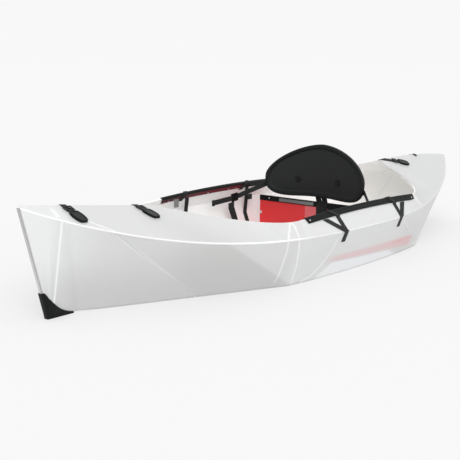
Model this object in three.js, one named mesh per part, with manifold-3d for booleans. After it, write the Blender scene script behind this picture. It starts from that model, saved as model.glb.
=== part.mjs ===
// Folding kayak: a hull folded from one twin-wall sheet, held by rails, straps and buckles,
// with a folding seat bulkhead and a strapped backrest. Millimetres, +Z up, bow towards -X.
import * as THREE from 'three';
import { mergeVertices } from 'three/addons/utils/BufferGeometryUtils.js';
import Module from 'manifold-3d';

const wasm = await Module();
wasm.setup();

// Driving dimensions of the hull
const hullLength = 2750;
const beam = 810;
const sideFlare = 75;
const bowRake = 97;
const sternRake = 225;
const sheet = 5;
const clearance = 0.3;
const overrun = 20;
const tipDrop = 8;
const tipGap = 1;
const bowHeight = 361;
const sternHeight = 318;
const creaseHeight = 178;
const keelLift = 2.8;
const keelTaper = 115;
const bowNode = 441;
const bowNodeInset = 22;
const sternNode = 525;
const sternNodeInset = 34;

// Shapes of the long curves, as powers and shares of the half lengths
const bowPlanPower = 2.6;
const sternPlanPower = 1.95;
const bowRisePower = 3.5;
const sternRisePower = 2.4;
const foldShares = [
  [-1, -1], [-0.927, -0.985], [-0.829, -0.61], [-0.575, -0.352], [-0.178, -0.338],
  [0.155, 0.45], [0.555, 0.464], [0.82, 0.68], [0.92, 0.98], [1, 1],
];

// The cockpit rim: two curves that run from the decks' ridges out to the rails
const cockpitFront = -813;
const cockpitFrontHeight = 298;
const cockpitRear = 700;
const cockpitRearHeight = 338;
const railFront = -446;
const railRear = 350;
const rimFrontInset = 62;
const rimRearInset = 47;
const rimFrontLift = 60;
const rimRearLift = 71;
const rimCrown = 10;
const rimShares = [-0.591, -0.3, 0.235, 0.509];
const frontRimShares = [[0.305, 0.42, 0.37], [0.63, 1, -0.06]];
const rearRimShares = [[0.26, 0.39, 0.57], [0.63, 1, 0.14]];
const sternDeckCrown = 14;
const deckFoldShare = -0.393;
const stationCount = 80;
const ringCount = 56;
const keelGap = 3;

// Rails and end caps
const railHeight = 25;
const railWall = 3;
const railPlay = 1.2;
const railRound = 2;
const railSlant = 25;
const railRearSlant = 8;
const capWall = 2.5;
const capLength = 100;
const capHeight = 84;
const capToe = 32;
const capNeck = 9;
const capReachShare = 0.25;
const capLipGap = 0.9;

// Webbing: the loops that tie the rails down, the inner straps, and the backrest's arms
const webWidth = 22;
const webThickness = 1.8;
const webGap = 0.8;
const loopLow = 40;
const loopInside = 34;
const loopStep = 6;
const frontLoop = { end: -215, apex: -220, post: -224, over: -262, inside: -284, leg: -302 };
const rearLoop = { end: 205, apex: 203, post: 186, over: 158, inside: 118, leg: 253 };
const loopLegWidth = 32;
const innerStrapFront = -245;
const innerStrapRear = 162;
const innerStrapTop = 24;
const innerStrapMiddle = 112;
const innerStrapFoot = 30;
const armInset = 24;
const armBend = [75, 24.64];
const armDip = [20, 17];
const armTail = [-104, 10];
const armFold = 14;
const armFoldThickness = 5;
const armFoldWidth = 25;
const armWing = [16, 7, 36];
const armRootInset = 42;
const armRootGap = 2;
const bossInset = 34;
const bossRadius = 4;
const bossGap = 0.6;
const armBuckleX = 46;
const armBuckleLength = 38;
const armBuckleHeight = 34;
const armBuckleThickness = 8;
const armSlot = 3;
const armWindow = 9;
const armAnchorX = 24;
const armAnchorWidth = 38;
const armAnchorMiddle = [54, 2, 98];
const armAnchorFoot = [70, 55];

// Floor, seat pad and bulkhead
const floorFront = -520;
const floorRear = 420;
const floorMargin = 68;
const floorCorner = 60;
const floorThickness = 6;
const seatFront = -205;
const seatRear = 165;
const seatHalfWidth = 190;
const seatThickness = 24;
const seatCrown = 6;
const seatEdge = 8;
const bulkheadX = 235;
const bulkheadTop = 188;
const bulkheadFlare = 5;
const bulkheadFootInset = 30;
const bulkheadShoulder = 62;
const trimHeight = 20;
const trimWall = 2.5;
const supportSpacing = 30;
const supportWidth = 27;
const supportFoot = 98;
const supportKnee = 4;
const supportHold = 4;
const supportReach = 11;

// Backrest: a moulded foam pad on a stiff plate, wrapped about the sitter
const backHalfWidth = 246;
const backBottom = 201;
const backTop = 440;
const backMiddle = 298;
const backArch = 17;
const backArchInset = 37;
const backArchPower = 1.5;
const backCentreX = 188;
const backWrap = 52;
const backLean = 22;
const backThickness = 20;
const backPlate = 3;
const plateInset = 16;
const backRim = 17;
const backRimHeight = 4;
const backRound = 5;
const backCrown = 5;
const crownShares = [0.85, 0.65, 0.4, 0.15];
const upperPower = 1.66;
const lowerPower = 3.3;
const buttonSpread = 100;
const buttonDrop = 14;
const buttonRadius = 9;
const buttonThickness = 3;

// Deck buckles: a socket on the deck, a latch that slides out of it, and the webbing
const socketLength = 58;
const socketWidth = 42;
const socketThroatWidth = 32;
const socketEndWidth = 22;
const socketThickness = 9;
const socketRound = 1.6;
const socketFloor = 2.6;
const socketRecess = 1.1;
const socketRim = 4.5;
const mouthWidth = 25;
const mouthHeight = 3.6;
const mouthDepth = 26;
const sideWindow = 10;
const latchPlay = 0.4;
const latchLength = 34;
const latchNeck = 8;
const latchWidth = 34;
const latchBar = 5;
const latchRound = 4;
const prongWidth = 6;
const prongSpread = 16;
const prongLength = 22;
const deckSamples = 9;
const mouthFromRidge = 48;
const strapReach = 62;
const bowTipStrapInset = 168;
const bowDeckStrapGap = 85;
const sternDeckStrapGap = 32;
const sternDeckMouth = 92;
const sternDeckReach = 26;
const sternDeckSlant = 62;
const sternTipStrapInset = 335;
const sternTipReach = 16;

const half = hullLength / 2;
const seam = clearance / 2;
const tipHalfWidth = sheet + tipGap;
const bowKeel = half - bowRake;
const sternKeel = half - sternRake;
const bottomHalfWidth = beam / 2 - sideFlare;
const rimFrontHalfWidth = beam / 2 - rimFrontInset;
const rimRearHalfWidth = beam / 2 - rimRearInset;
const rimFrontHeight = creaseHeight + rimFrontLift;
const rimRearHeight = creaseHeight + rimRearLift;
const group = new THREE.Group();

const finishes = {
  hull: { color: 0xe2e4e4, roughness: 0.42, metalness: 0 },
  red: { color: 0xd23c3e, roughness: 0.45, metalness: 0 },
  black: { color: 0x1f2423, roughness: 0.5, metalness: 0 },
  web: { color: 0x262828, roughness: 0.85, metalness: 0 },
  foam: { color: 0x232726, roughness: 0.7, metalness: 0 },
  grey: { color: 0x55585a, roughness: 0.5, metalness: 0 },
};

function v3(x, y, z) {
  return new THREE.Vector3(x, y, z);
}

function lerp(a, b, t) {
  return a + (b - a) * t;
}

function piecewise(table, at) {
  const last = table.length - 2;
  let k = 0;
  while (k < last && at > table[k + 1][0]) k += 1;
  const [x0, y0] = table[k];
  const [x1, y1] = table[k + 1];
  return lerp(y0, y1, (at - x0) / (x1 - x0));
}

// Solids
function volumeOf(position, index) {
  const [a, b, c] = [v3(), v3(), v3()];
  let six = 0;
  for (let k = 0; k < index.length; k += 3) {
    a.fromArray(position, index[k] * 3);
    b.fromArray(position, index[k + 1] * 3);
    c.fromArray(position, index[k + 2] * 3);
    six += a.dot(b.cross(c));
  }
  return six;
}

function closedGeometry(position, index) {
  const facing = volumeOf(position, index) < 0 ? index.slice().reverse() : index;
  const geometry = new THREE.BufferGeometry();
  geometry.setAttribute('position', new THREE.Float32BufferAttribute(position, 3));
  geometry.setIndex(facing);
  return geometry;
}

// Triangles over one end of a loft, found on the ring's own plane
function endFaces(ring) {
  const normal = v3(0, 0, 0);
  const centre = ring.reduce((sum, p) => sum.add(p), v3(0, 0, 0)).divideScalar(ring.length);
  ring.forEach((p, k) => {
    const q = ring[(k + 1) % ring.length];
    normal.add(p.clone().sub(centre).cross(q.clone().sub(centre)));
  });
  normal.normalize();
  const across = ring[1].clone().sub(ring[0]).normalize();
  const up = normal.clone().cross(across);
  const flat = ring.map((p) => new THREE.Vector2(p.dot(across), p.dot(up)));
  return THREE.ShapeUtils.triangulateShape(flat, []);
}

// A closed solid through rings of equal point counts. The second half of a ring has its
// diagonals turned, so that the two faces of a twisted sheet stay one thickness apart.
function loft(rings) {
  const count = rings[0].length;
  const position = rings.flat().flatMap((p) => p.toArray());
  const index = [];
  for (let r = 0; r < rings.length - 1; r += 1) {
    for (let k = 0; k < count; k += 1) {
      const a = r * count + k;
      const b = r * count + ((k + 1) % count);
      if (k < count / 2) index.push(a, a + count, b, b, a + count, b + count);
      else index.push(a, b + count, b, a, a + count, b + count);
    }
  }
  const last = (rings.length - 1) * count;
  endFaces(rings[0]).forEach(([a, b, c]) => index.push(a, b, c));
  endFaces(rings[rings.length - 1]).forEach(([a, b, c]) => index.push(last + a, last + c, last + b));
  return closedGeometry(position, index);
}

function mirrored(geometry) {
  const flat = geometry.index ? geometry : mergeVertices(geometry);
  const position = Array.from(flat.attributes.position.array);
  for (let k = 1; k < position.length; k += 3) position[k] *= -1;
  return closedGeometry(position, Array.from(flat.index.array));
}

function solid(geometry) {
  const clean = geometry.clone();
  clean.deleteAttribute('normal');
  clean.deleteAttribute('uv');
  const merged = mergeVertices(clean, clearance / 100);
  return new wasm.Manifold(new wasm.Mesh({
    numProp: 3,
    vertProperties: merged.attributes.position.array,
    triVerts: new Uint32Array(merged.index.array),
  }));
}

function shape(manifold) {
  const mesh = manifold.getMesh();
  return closedGeometry(Array.from(mesh.vertProperties), Array.from(mesh.triVerts));
}

function add(name, geometry, finish) {
  geometry.computeVertexNormals();
  const mesh = new THREE.Mesh(geometry, new THREE.MeshStandardMaterial(finish));
  mesh.name = name;
  group.add(mesh);
  return mesh;
}

function onBothSides(name, geometry, finish) {
  add(`${name}_starboard`, geometry, finish);
  add(`${name}_port`, mirrored(geometry), finish);
}

// The hull's three long curves, from bow (-1) to stern (1), on the starboard side
function creasePoint(share) {
  const plan = share < 0 ? bowPlanPower : sternPlanPower;
  const rise = share < 0 ? bowRisePower : sternRisePower;
  const tip = (share < 0 ? bowHeight : sternHeight) - tipDrop;
  const reach = Math.abs(share);
  return v3(
    share * half,
    lerp(beam / 2, tipHalfWidth, reach ** plan),
    lerp(creaseHeight, tip, reach ** rise),
  );
}

function chinePoint(share) {
  const [keel, node, nodeInset] = share < 0
    ? [bowKeel, bowNode, bowNodeInset] : [sternKeel, sternNode, sternNodeInset];
  const nodeWidth = bottomHalfWidth - nodeInset;
  const x = piecewise(foldShares, share) * keel;
  const reach = Math.abs(x);
  const thin = keel - keelTaper;
  const keelHalfWidth = sheet + seam;
  let width = lerp(bottomHalfWidth, nodeWidth, (reach / node) ** 2);
  if (reach > node) width = lerp(nodeWidth, keelHalfWidth, (reach - node) / (thin - node));
  const rise = keelLift * THREE.MathUtils.smoothstep(reach, thin - keelTaper, thin);
  return v3(x, Math.max(width, keelHalfWidth), rise);
}

function rimCurve(deckEnd, deckHeight, end, shares) {
  const start = v3(deckEnd, seam, deckHeight);
  const handles = shares.map(([along, out, up]) => v3(
    lerp(deckEnd, end.x, along),
    end.y * out,
    lerp(end.z, deckHeight, up),
  ));
  return new THREE.CubicBezierCurve3(start, ...handles, end);
}

const frontRim = rimCurve(cockpitFront, cockpitFrontHeight, railPoint(0), frontRimShares);
const rearRim = rimCurve(cockpitRear, cockpitRearHeight, railPoint(1), rearRimShares);

function railPoint(along) {
  const crown = rimCrown * 4 * along * (1 - along);
  return v3(
    lerp(railFront, railRear, along),
    lerp(rimFrontHalfWidth, rimRearHalfWidth, along),
    lerp(rimFrontHeight, rimRearHeight, along) + crown,
  );
}

// The sheet's upper edge: deck ridge, cockpit rim, rail, rim and ridge again
function upperPoint(share) {
  const [deckFront, railStart, railStop, deckRear] = rimShares;
  if (share < deckFront) {
    const t = (share + 1) / (deckFront + 1);
    return v3(lerp(-half, cockpitFront, t), seam, lerp(bowHeight, cockpitFrontHeight, t));
  }
  if (share < railStart) return frontRim.getPoint((share - deckFront) / (railStart - deckFront));
  if (share <= railStop) return railPoint((share - railStart) / (railStop - railStart));
  if (share < deckRear) return rearRim.getPoint((deckRear - share) / (deckRear - railStop));
  const t = (1 - share) / (1 - deckRear);
  const crown = sternDeckCrown * 4 * t * (1 - t);
  return v3(lerp(half, cockpitRear, t), seam, lerp(sternHeight, cockpitRearHeight, t) + crown);
}

function hasRidge(share) {
  return share < rimShares[0] || share > rimShares[3];
}

// One section of the folded sheet: outer corners, mitred inner corners and face directions
function section(share) {
  const chine = chinePoint(share);
  const crease = creasePoint(share);
  const upper = upperPoint(share);
  const rise = crease.clone().sub(chine).setX(0).normalize();
  const deck = upper.clone().sub(crease).setX(0).normalize();
  const flat = v3(0, 1, 0);
  const inward = (d) => v3(0, -d.z, d.y);
  const mitre = (corner, a, b) => {
    const [m, n] = [inward(a), inward(b)];
    const inner = m.clone().add(n).multiplyScalar(sheet / (1 + m.dot(n))).add(corner);
    return inner.setY(Math.max(inner.y, seam));
  };
  const under = inward(deck).multiplyScalar(sheet).add(upper);
  if (hasRidge(share)) under.set(upper.x, seam, upper.z - sheet / Math.abs(deck.y));
  under.y = Math.max(under.y, seam);
  return {
    chine,
    crease,
    upper,
    rise,
    deck,
    sideOut: inward(rise).negate(),
    deckOut: inward(deck).negate(),
    innerChine: mitre(chine, flat, rise),
    innerCrease: mitre(crease, rise, deck),
    innerUpper: under,
  };
}

function shifted(point, direction, distance) {
  return point.clone().addScaledVector(direction, distance);
}

function sideRing(share) {
  const s = section(share);
  return [
    shifted(s.chine, s.rise, seam), shifted(s.crease, s.rise, -seam),
    shifted(s.innerCrease, s.rise, -seam), shifted(s.innerChine, s.rise, seam),
  ];
}

function deckRing(share) {
  const s = section(share);
  const top = hasRidge(share) ? 0 : -seam;
  return [
    shifted(s.crease, s.deck, seam), shifted(s.upper, s.deck, top),
    shifted(s.innerUpper, s.deck, top), shifted(s.innerCrease, s.deck, seam),
  ];
}

function bottomRing(share) {
  const s = section(share);
  const outer = v3(s.chine.x, s.chine.y - clearance, s.chine.z);
  const inner = v3(s.chine.x, s.innerChine.y - clearance, s.innerChine.z);
  const other = (p) => v3(p.x, -p.y, p.z);
  return [outer, inner, other(inner), other(outer)];
}

// Sections at which every panel of the sheet has its corners, so that neighbours follow one another
function allStations() {
  const list = [...foldShares.map(([share]) => share), ...rimShares, deckFoldShare];
  const byKeel = foldShares.map(([share, keel]) => [keel, share]);
  [1, 2].forEach((step) => {
    list.push(piecewise(byKeel, (step * keelTaper) / bowKeel - 1));
    list.push(piecewise(byKeel, 1 - (step * keelTaper) / sternKeel));
  });
  for (let k = 0; k <= stationCount; k += 1) list.push(lerp(-1, 1, k / stationCount));
  list.sort((a, b) => a - b);
  return list.filter((share, k) => k === 0 || share - list[k - 1] > overrun / half / 2);
}

function between(from, to) {
  const slit = clearance / half;
  const start = from === -1 ? from : from + slit;
  const stop = to === 1 ? to : to - slit;
  const inner = masterStations.filter((share) => share > start + slit && share < stop - slit);
  return [start, ...inner, stop];
}

const masterStations = allStations();

// Panels of the folded sheet, parted at its fold lines
function buildHull() {
  const [stem, , bowFold, , frontFold, rearFold, , sternFold, , sternStem] = foldShares.map(([f]) => f);
  const sides = [
    ['bow_side', stem, bowFold],
    ['bow_quarter_side', bowFold, frontFold],
    ['mid_side', frontFold, rearFold],
    ['stern_quarter_side', rearFold, sternFold],
    ['stern_side', sternFold, sternStem],
  ];
  const decks = [
    ['bow_deck', stem, deckFoldShare],
    ['gunwale_strip', deckFoldShare, rimShares[2]],
    ['stern_deck', rimShares[2], sternStem],
  ];
  sides.forEach(([name, from, to]) => {
    onBothSides(name, loft(between(from, to).map(sideRing)), finishes.hull);
  });
  decks.forEach(([name, from, to]) => {
    onBothSides(name, loft(between(from, to).map(deckRing)), finishes.hull);
  });
  const wide = masterStations.filter((share) => chinePoint(share).y > keelGap * sheet);
  add('hull_bottom', loft(wide.map(bottomRing)), finishes.hull);
}

buildHull();

// Points on the folded sheet, on the starboard side
function sideAt(x, z, out) {
  const share = shareAt(x, (s) => lerpPoint(s.chine, s.crease, z / s.crease.z).x);
  const s = section(share);
  return shifted(lerpPoint(s.chine, s.crease, z / s.crease.z), s.sideOut, out);
}

function stripAt(x, up, out) {
  const share = shareAt(x, (s) => lerpPoint(s.crease, s.upper, up).x);
  const s = section(share);
  return shifted(lerpPoint(s.crease, s.upper, up), s.deckOut, out);
}

function creaseAt(x, out) {
  const s = section(x / half);
  const outward = s.sideOut.clone().add(s.deckOut);
  return shifted(s.crease, outward, out / (1 + s.sideOut.dot(s.deckOut)));
}

function deckAt(x, y) {
  const onRuling = (s) => lerpPoint(s.crease, s.upper, 1 - Math.abs(y) / s.crease.y);
  const p = onRuling(section(shareAt(x, (s) => onRuling(s).x)));
  if (y < 0) p.y *= -1;
  return p;
}

function isDecked(x) {
  return x < cockpitFront || x > cockpitRear;
}

function lerpPoint(a, b, t) {
  return a.clone().lerp(b, t);
}

// The station whose point has the given x, by halving
function shareAt(x, measure) {
  let [low, high] = [-1, 1];
  for (let k = 0; k < 40; k += 1) {
    const middle = (low + high) / 2;
    if (measure(section(middle)) < x) low = middle;
    else high = middle;
  }
  return (low + high) / 2;
}

// A flat strap through a list of points, its width along one direction or one for each point
function ribbon(points, directions, width = webWidth, thickness = webThickness) {
  const rings = points.map((p, k) => {
    const across = Array.isArray(directions) ? directions[k] : directions;
    const before = p.clone().sub(points[Math.max(k - 1, 0)]);
    const after = points[Math.min(k + 1, points.length - 1)].clone().sub(p);
    if (k === 0) before.copy(after);
    if (k === points.length - 1) after.copy(before);
    const along = before.normalize().clone().add(after.normalize());
    const turn = along.length() / 2;
    const normal = along.normalize().clone().cross(across).normalize();
    const w = across.clone().multiplyScalar(width / 2);
    const n = normal.multiplyScalar(thickness / 2 / turn);
    return [
      p.clone().add(w).add(n), p.clone().sub(w).add(n),
      p.clone().sub(w).sub(n), p.clone().add(w).sub(n),
    ];
  });
  return loft(rings);
}

function joined(...geometries) {
  return shape(geometries.map(solid).reduce((all, one) => all.add(one)));
}

function cut(geometry, ...tools) {
  return shape(tools.map(solid).reduce((all, one) => all.subtract(one), solid(geometry)));
}

function box(x0, x1, y0, y1, z0, z1) {
  const geometry = new THREE.BoxGeometry(x1 - x0, y1 - y0, z1 - z0);
  return geometry.translate((x0 + x1) / 2, (y0 + y1) / 2, (z0 + z1) / 2);
}

// Rails: slotted bars pressed over the rim of the sheet
const railOuter = railPlay + railWall;
const railInner = -sheet - railOuter;
const railTop = clearance + railWall;
const railLow = railTop - railHeight;

function railProfile() {
  return [
    [railOuter, railLow], [railOuter, railTop - railRound], [railOuter - railRound, railTop],
    [railInner + railRound, railTop], [railInner, railTop - railRound], [railInner, railLow],
    [railInner + railWall, railLow], [railInner + railWall, clearance],
    [railPlay, clearance], [railPlay, railLow],
  ];
}

function railAt(x, out, up) {
  const s = section(x / half);
  const tall = Math.hypot(s.upper.y - s.crease.y, s.upper.z - s.crease.z);
  return stripAt(x, 1 + up / tall, out);
}

function buildRails() {
  const shares = masterStations.filter((share) => share >= rimShares[1] && share <= rimShares[2]);
  const rings = shares.map((share) => railProfile().map(([out, up]) => {
    const low = (railTop - up) / railHeight;
    const s = section(share);
    if (share === rimShares[1]) return railAt(railFront + railSlant * low, out, up);
    if (share === rimShares[2]) return railAt(railRear + railRearSlant * low, out, up);
    const ruling = s.upper.clone().sub(s.crease);
    const tall = Math.hypot(ruling.y, ruling.z);
    return shifted(shifted(s.upper, ruling, up / tall), s.deckOut, out);
  }));
  onBothSides('rail', loft(rings), finishes.black);
}

// Moulded caps that cover the foot of each stem: two cheeks, a nose and a sole
function endStations(end) {
  const list = masterStations.filter((share) => share * end > 1 - capReachShare);
  return end < 0 ? list : list.reverse();
}

function cheek(end) {
  const rings = endStations(end).map((share) => {
    const s = section(share);
    const low = shifted(s.chine, s.sideOut, clearance);
    const high = shifted(s.crease, s.sideOut, clearance);
    return [low, high, shifted(high, s.sideOut, capWall), shifted(low, s.sideOut, capWall)];
  });
  const front = rings[0].map((p) => v3(p.x + end * (clearance + capWall), p.y, p.z));
  const ordered = [front, ...rings];
  return loft(end < 0 ? ordered : ordered.reverse());
}

function sole(end) {
  const lip = keelLift * 2;
  const rings = endStations(end).map((share) => {
    const s = section(share);
    const flare = lerpPoint(s.chine, s.crease, (lip - keelLift) / s.crease.z).y;
    return { x: s.chine.x, y: flare + capLipGap };
  });
  rings.unshift({ x: rings[0].x + end * (clearance + capWall), y: rings[0].y });
  return loft(rings.map(({ x, y }) => {
    const [out, top] = [y + capWall, keelLift - clearance];
    return [
      v3(x, out, 0), v3(x, -out, 0), v3(x, -out, lip), v3(x, -y, lip),
      v3(x, -y, top), v3(x, y, top), v3(x, y, lip), v3(x, out, lip),
    ];
  }));
}

function nose(end) {
  const s = section(end);
  const width = clearance + capWall / 2;
  return loft([s.chine, s.crease].map((p) => {
    const z = p === s.chine ? 0 : p.z;
    const [near, far] = [p.x + end * clearance, p.x + end * (clearance + capWall)];
    const y = p.y + width;
    return [v3(near, y, z), v3(far, y, z), v3(far, -y, z), v3(near, -y, z)];
  }));
}

function capOutline(end) {
  const foot = end < 0 ? -bowKeel : sternKeel;
  const s = section(end);
  const lean = (s.crease.x - s.chine.x) / s.crease.z;
  const outline = new THREE.Shape();
  const nose = foot + end * overrun;
  outline.moveTo(nose, 0);
  outline.lineTo(foot - end * capLength, 0);
  outline.lineTo(foot - end * capLength, keelLift * 2);
  const elbow = v3(foot - end * capToe, 0, capToe / 2);
  outline.quadraticCurveTo(elbow.x, elbow.z, foot + lean * capHeight - end * capNeck, capHeight);
  outline.lineTo(nose + lean * capHeight, capHeight);
  outline.closePath();
  return outline;
}

function buildCaps() {
  [['bow_cap', -1], ['stern_cap', 1]].forEach(([name, end]) => {
    const slab = new THREE.ExtrudeGeometry(capOutline(end), {
      depth: beam, bevelEnabled: false, curveSegments: 8,
    });
    slab.rotateX(Math.PI / 2).translate(0, beam / 2, 0);
    const whole = joined(cheek(end), mirrored(cheek(end)), sole(end), nose(end));
    add(name, shape(solid(whole).intersect(solid(slab))), finishes.black);
  });
}

// Loops of webbing that pass over the rails and end on the side panels
const skin = webGap + webThickness / 2;

function alongCrease(x) {
  return creaseAt(x + sheet, 0).sub(creaseAt(x, 0)).normalize();
}

function railLoop({ end, apex, post, over, inside, leg }) {
  const [level, fore] = [v3(1, 0, 0), alongCrease(apex)];
  const corner = railRound / 2;
  const path = [
    sideAt(end, creaseHeight - loopLow, skin),
    creaseAt(apex, skin),
    railAt(post, skin, railLow - loopStep),
    railAt(post, railOuter + skin, railLow - webThickness),
    railAt(over, railOuter + skin, railTop - corner),
    railAt(over, railOuter - corner, railTop + skin),
    railAt(lerp(over, inside, 1 / 2), railInner + corner, railTop + skin),
    railAt(lerp(over, inside, 1 / 2), railInner - skin, railTop - corner),
    railAt(inside, railInner - skin, railTop - loopInside),
  ];
  const turns = path.map((p, k) => (k < 2 ? fore : level));
  const brace = [creaseAt(apex, skin), railAt(leg, skin, railLow - webThickness)];
  return joined(ribbon(path, turns), ribbon(brace, [fore, level], loopLegWidth));
}

function innerStrap(x) {
  const [level, fore] = [v3(1, 0, 0), alongCrease(x)];
  const path = [
    railAt(x, railInner - skin, railTop - innerStrapTop),
    railAt(x, railInner - skin, railLow),
    sideAt(x, innerStrapMiddle, -sheet - skin),
    sideAt(x, innerStrapFoot, -sheet - skin),
  ];
  return ribbon(path, [level, level, fore, fore]);
}

function buildLoops() {
  onBothSides('rail_loop_front', railLoop(frontLoop), finishes.web);
  onBothSides('rail_loop_rear', railLoop(rearLoop), finishes.web);
  onBothSides('inner_strap_front', innerStrap(innerStrapFront), finishes.web);
  onBothSides('inner_strap_rear', innerStrap(innerStrapRear), finishes.web);
}

// Backrest surfaces: the front face bends about the sitter and leans aft
function backFront(y, z) {
  const wrap = backWrap * (y / backHalfWidth) ** 2;
  return backCentreX - wrap + backLean * ((z - backBottom) / (backTop - backBottom));
}

// The lower edge arches up in its middle, between the pad's two lobes
function archRise(y) {
  const across = y / (backHalfWidth - backArchInset);
  return backArch * Math.max(0, 1 - across ** 2) ** backArchPower;
}

function backOutline(angle, inset, share) {
  const [c, s] = [Math.cos(angle), Math.sin(angle)];
  const power = s > 0 ? upperPower : lowerPower;
  const tall = s > 0 ? backTop - backMiddle : backMiddle - backBottom;
  const y = Math.sign(c) * Math.abs(c) ** (2 / power) * (backHalfWidth - inset);
  const z = Math.sign(s) * Math.abs(s) ** (2 / power) * (tall - inset);
  const rise = s < 0 ? archRise(y) : 0;
  return [y * share, backMiddle + (z + rise) * share];
}

// A shell of closed outlines, each given as [inset, depth behind the front face, share kept]
function backSolid(profile) {
  const count = ringCount;
  const rows = profile.map(([inset, depth, share = 1]) => {
    const ring = [];
    for (let k = 0; k < count; k += 1) {
      const [y, z] = backOutline((2 * Math.PI * k) / count, inset, share);
      ring.push(v3(backFront(y, z) + depth, y, z));
    }
    return ring;
  });
  const position = rows.flat().flatMap((p) => p.toArray());
  const index = [];
  for (let r = 0; r < rows.length - 1; r += 1) {
    for (let k = 0; k < count; k += 1) {
      const a = r * count + k;
      const b = r * count + ((k + 1) % count);
      index.push(a, b, a + count, b, b + count, a + count);
    }
  }
  [0, rows.length - 1].forEach((r) => {
    const depth = profile[r][1];
    const pole = position.length / 3;
    position.push(backFront(0, backMiddle) + depth, 0, backMiddle);
    for (let k = 0; k < count; k += 1) {
      const a = r * count + k;
      const b = r * count + ((k + 1) % count);
      if (r === 0) index.push(a, pole, b);
      else index.push(a, b, pole);
    }
  });
  return closedGeometry(position, index);
}

// The arm's webbing starts behind the plate and turns forward round the pad's edge
const armWingAt = v3(backCentreX - armWing[0], backHalfWidth - armWing[1], backMiddle - armWing[2]);
const bossY = backHalfWidth - bossInset;

function armRoot() {
  const y = backHalfWidth - armRootInset;
  const x = backFront(y, armWingAt.z) + backThickness + webGap + backPlate;
  return v3(x + armRootGap + webThickness / 2, y, armWingAt.z);
}

function boss() {
  const root = armRoot();
  const slope = (root.x - armWingAt.x) / (armWingAt.y - root.y);
  const end = root.x - slope * (bossY + bossRadius - root.y) - webThickness / 2;
  const from = backFront(bossY, armWingAt.z) + backThickness + webGap + backPlate / 2;
  const length = end - bossGap - from;
  const pin = new THREE.CylinderGeometry(bossRadius, bossRadius, length, 16);
  return pin.rotateZ(Math.PI / 2).translate(from + length / 2, bossY, armWingAt.z);
}

function buildBackrest() {
  const field = backRim + backRound;
  const swell = crownShares.map((share) => (
    [field, backRimHeight - backCrown * (1 - share ** 2), share]
  ));
  add('backrest_pad', backSolid([
    ...swell.slice().reverse().map(([, , share]) => [backRound, backThickness, share]),
    [backRound, backThickness], [0, backThickness - backRound], [0, backRound],
    [backRound, 0], [backRim, 0], [field, backRimHeight], ...swell,
  ]), finishes.foam);
  const near = backThickness + webGap;
  const far = near + backPlate;
  const wide = crownShares.map((share) => [plateInset, far, share]);
  const plate = backSolid([
    ...wide.slice().reverse(), [plateInset, far], [plateInset, near],
    ...wide.map(([inset, , share]) => [inset, near, share]),
  ]);
  add('backrest_plate', joined(plate, boss(), mirrored(boss())), finishes.black);
  const button = new THREE.CylinderGeometry(buttonRadius * 0.8, buttonRadius, buttonThickness, 20);
  button.rotateZ(Math.PI / 2);
  const slope = Math.atan(2 * backWrap * buttonSpread / backHalfWidth ** 2);
  button.rotateZ(slope).rotateY(Math.atan(backLean / (backTop - backBottom)));
  const middle = buttonSpread / (backHalfWidth - field);
  const dip = backRimHeight - backCrown * (1 - middle ** 2);
  const buttonZ = backMiddle - buttonDrop;
  const x = backFront(buttonSpread, buttonZ) + dip - buttonThickness / 2 - webGap;
  onBothSides('backrest_button', mergeVertices(button.translate(x, buttonSpread, buttonZ)), finishes.black);
}

// Arms of the backrest: webbing that slides through a buckle held by an anchor strap
const armY = rimRearHalfWidth - armInset;

function armAt([x, lift]) {
  return v3(x, armY, creaseHeight + lift);
}

function armStrap() {
  const up = v3(0, 0, 1);
  const tail = armAt(armTail);
  const path = [armRoot(), armWingAt, armAt(armBend), armAt(armDip), tail];
  const end = [v3(tail.x + armFold, tail.y, tail.z), v3(tail.x - seam, tail.y, tail.z)];
  return joined(ribbon(path, up), ribbon(end, up, armFoldWidth, armFoldThickness));
}

const armSlope = (armBend[1] - armDip[1]) / (armBend[0] - armDip[0]);

function onArm(x) {
  return armAt([x, armDip[1] + armSlope * (x - armDip[0])]);
}

function armBuckle() {
  const lean = Math.atan(armSlope);
  const [l, h, t] = [armBuckleLength / 2, armBuckleHeight / 2, armBuckleThickness / 2];
  const [slotZ, slotY] = [webWidth / 2 + 2 * clearance, armSlot / 2];
  const windows = [-1, 1].map((end) => {
    const middle = (end * l) / 2;
    return box(middle - armWindow / 2, middle + armWindow / 2, -t * 2, 0, -slotZ, slotZ);
  });
  const frame = cut(box(-l, l, -t, t, -h, h), box(-beam, beam, -slotY, slotY, -slotZ, slotZ), ...windows);
  return frame.rotateY(-lean).translate(...onArm(armBuckleX).toArray());
}

function armAnchorStrap() {
  const [x, z] = armAnchorFoot;
  const foot = sideAt(x, z, -sheet - skin);
  const low = sideAt(x, z - loopLow / 2, -sheet - skin);
  const lean = v3(1, 0, armSlope).normalize();
  const drop = (armBuckleHeight / 2 + clearance) / lean.x;
  const top = onArm(armAnchorX);
  top.z -= drop;
  const under = v3(top.x, top.y, top.z - webWidth);
  const middle = v3(armAnchorMiddle[0], armY + armAnchorMiddle[1], armAnchorMiddle[2]);
  const [level, fore] = [v3(1, 0, 0), alongCrease(x)];
  const turns = [lean, lean, level, fore, fore];
  return ribbon([top, under, middle, foot, low], turns, armAnchorWidth);
}

function buildArms() {
  onBothSides('arm_strap', armStrap(), finishes.web);
  onBothSides('arm_buckle', armBuckle(), finishes.black);
  onBothSides('arm_anchor', armAnchorStrap(), finishes.web);
}

// Inside: floorboard, seat pad, bulkhead with its edge trim, and two support straps
const floorLow = sheet + clearance;
const floorTop = floorLow + floorThickness;
const bulkheadHalfWidth = bottomHalfWidth + bulkheadFlare;

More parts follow.
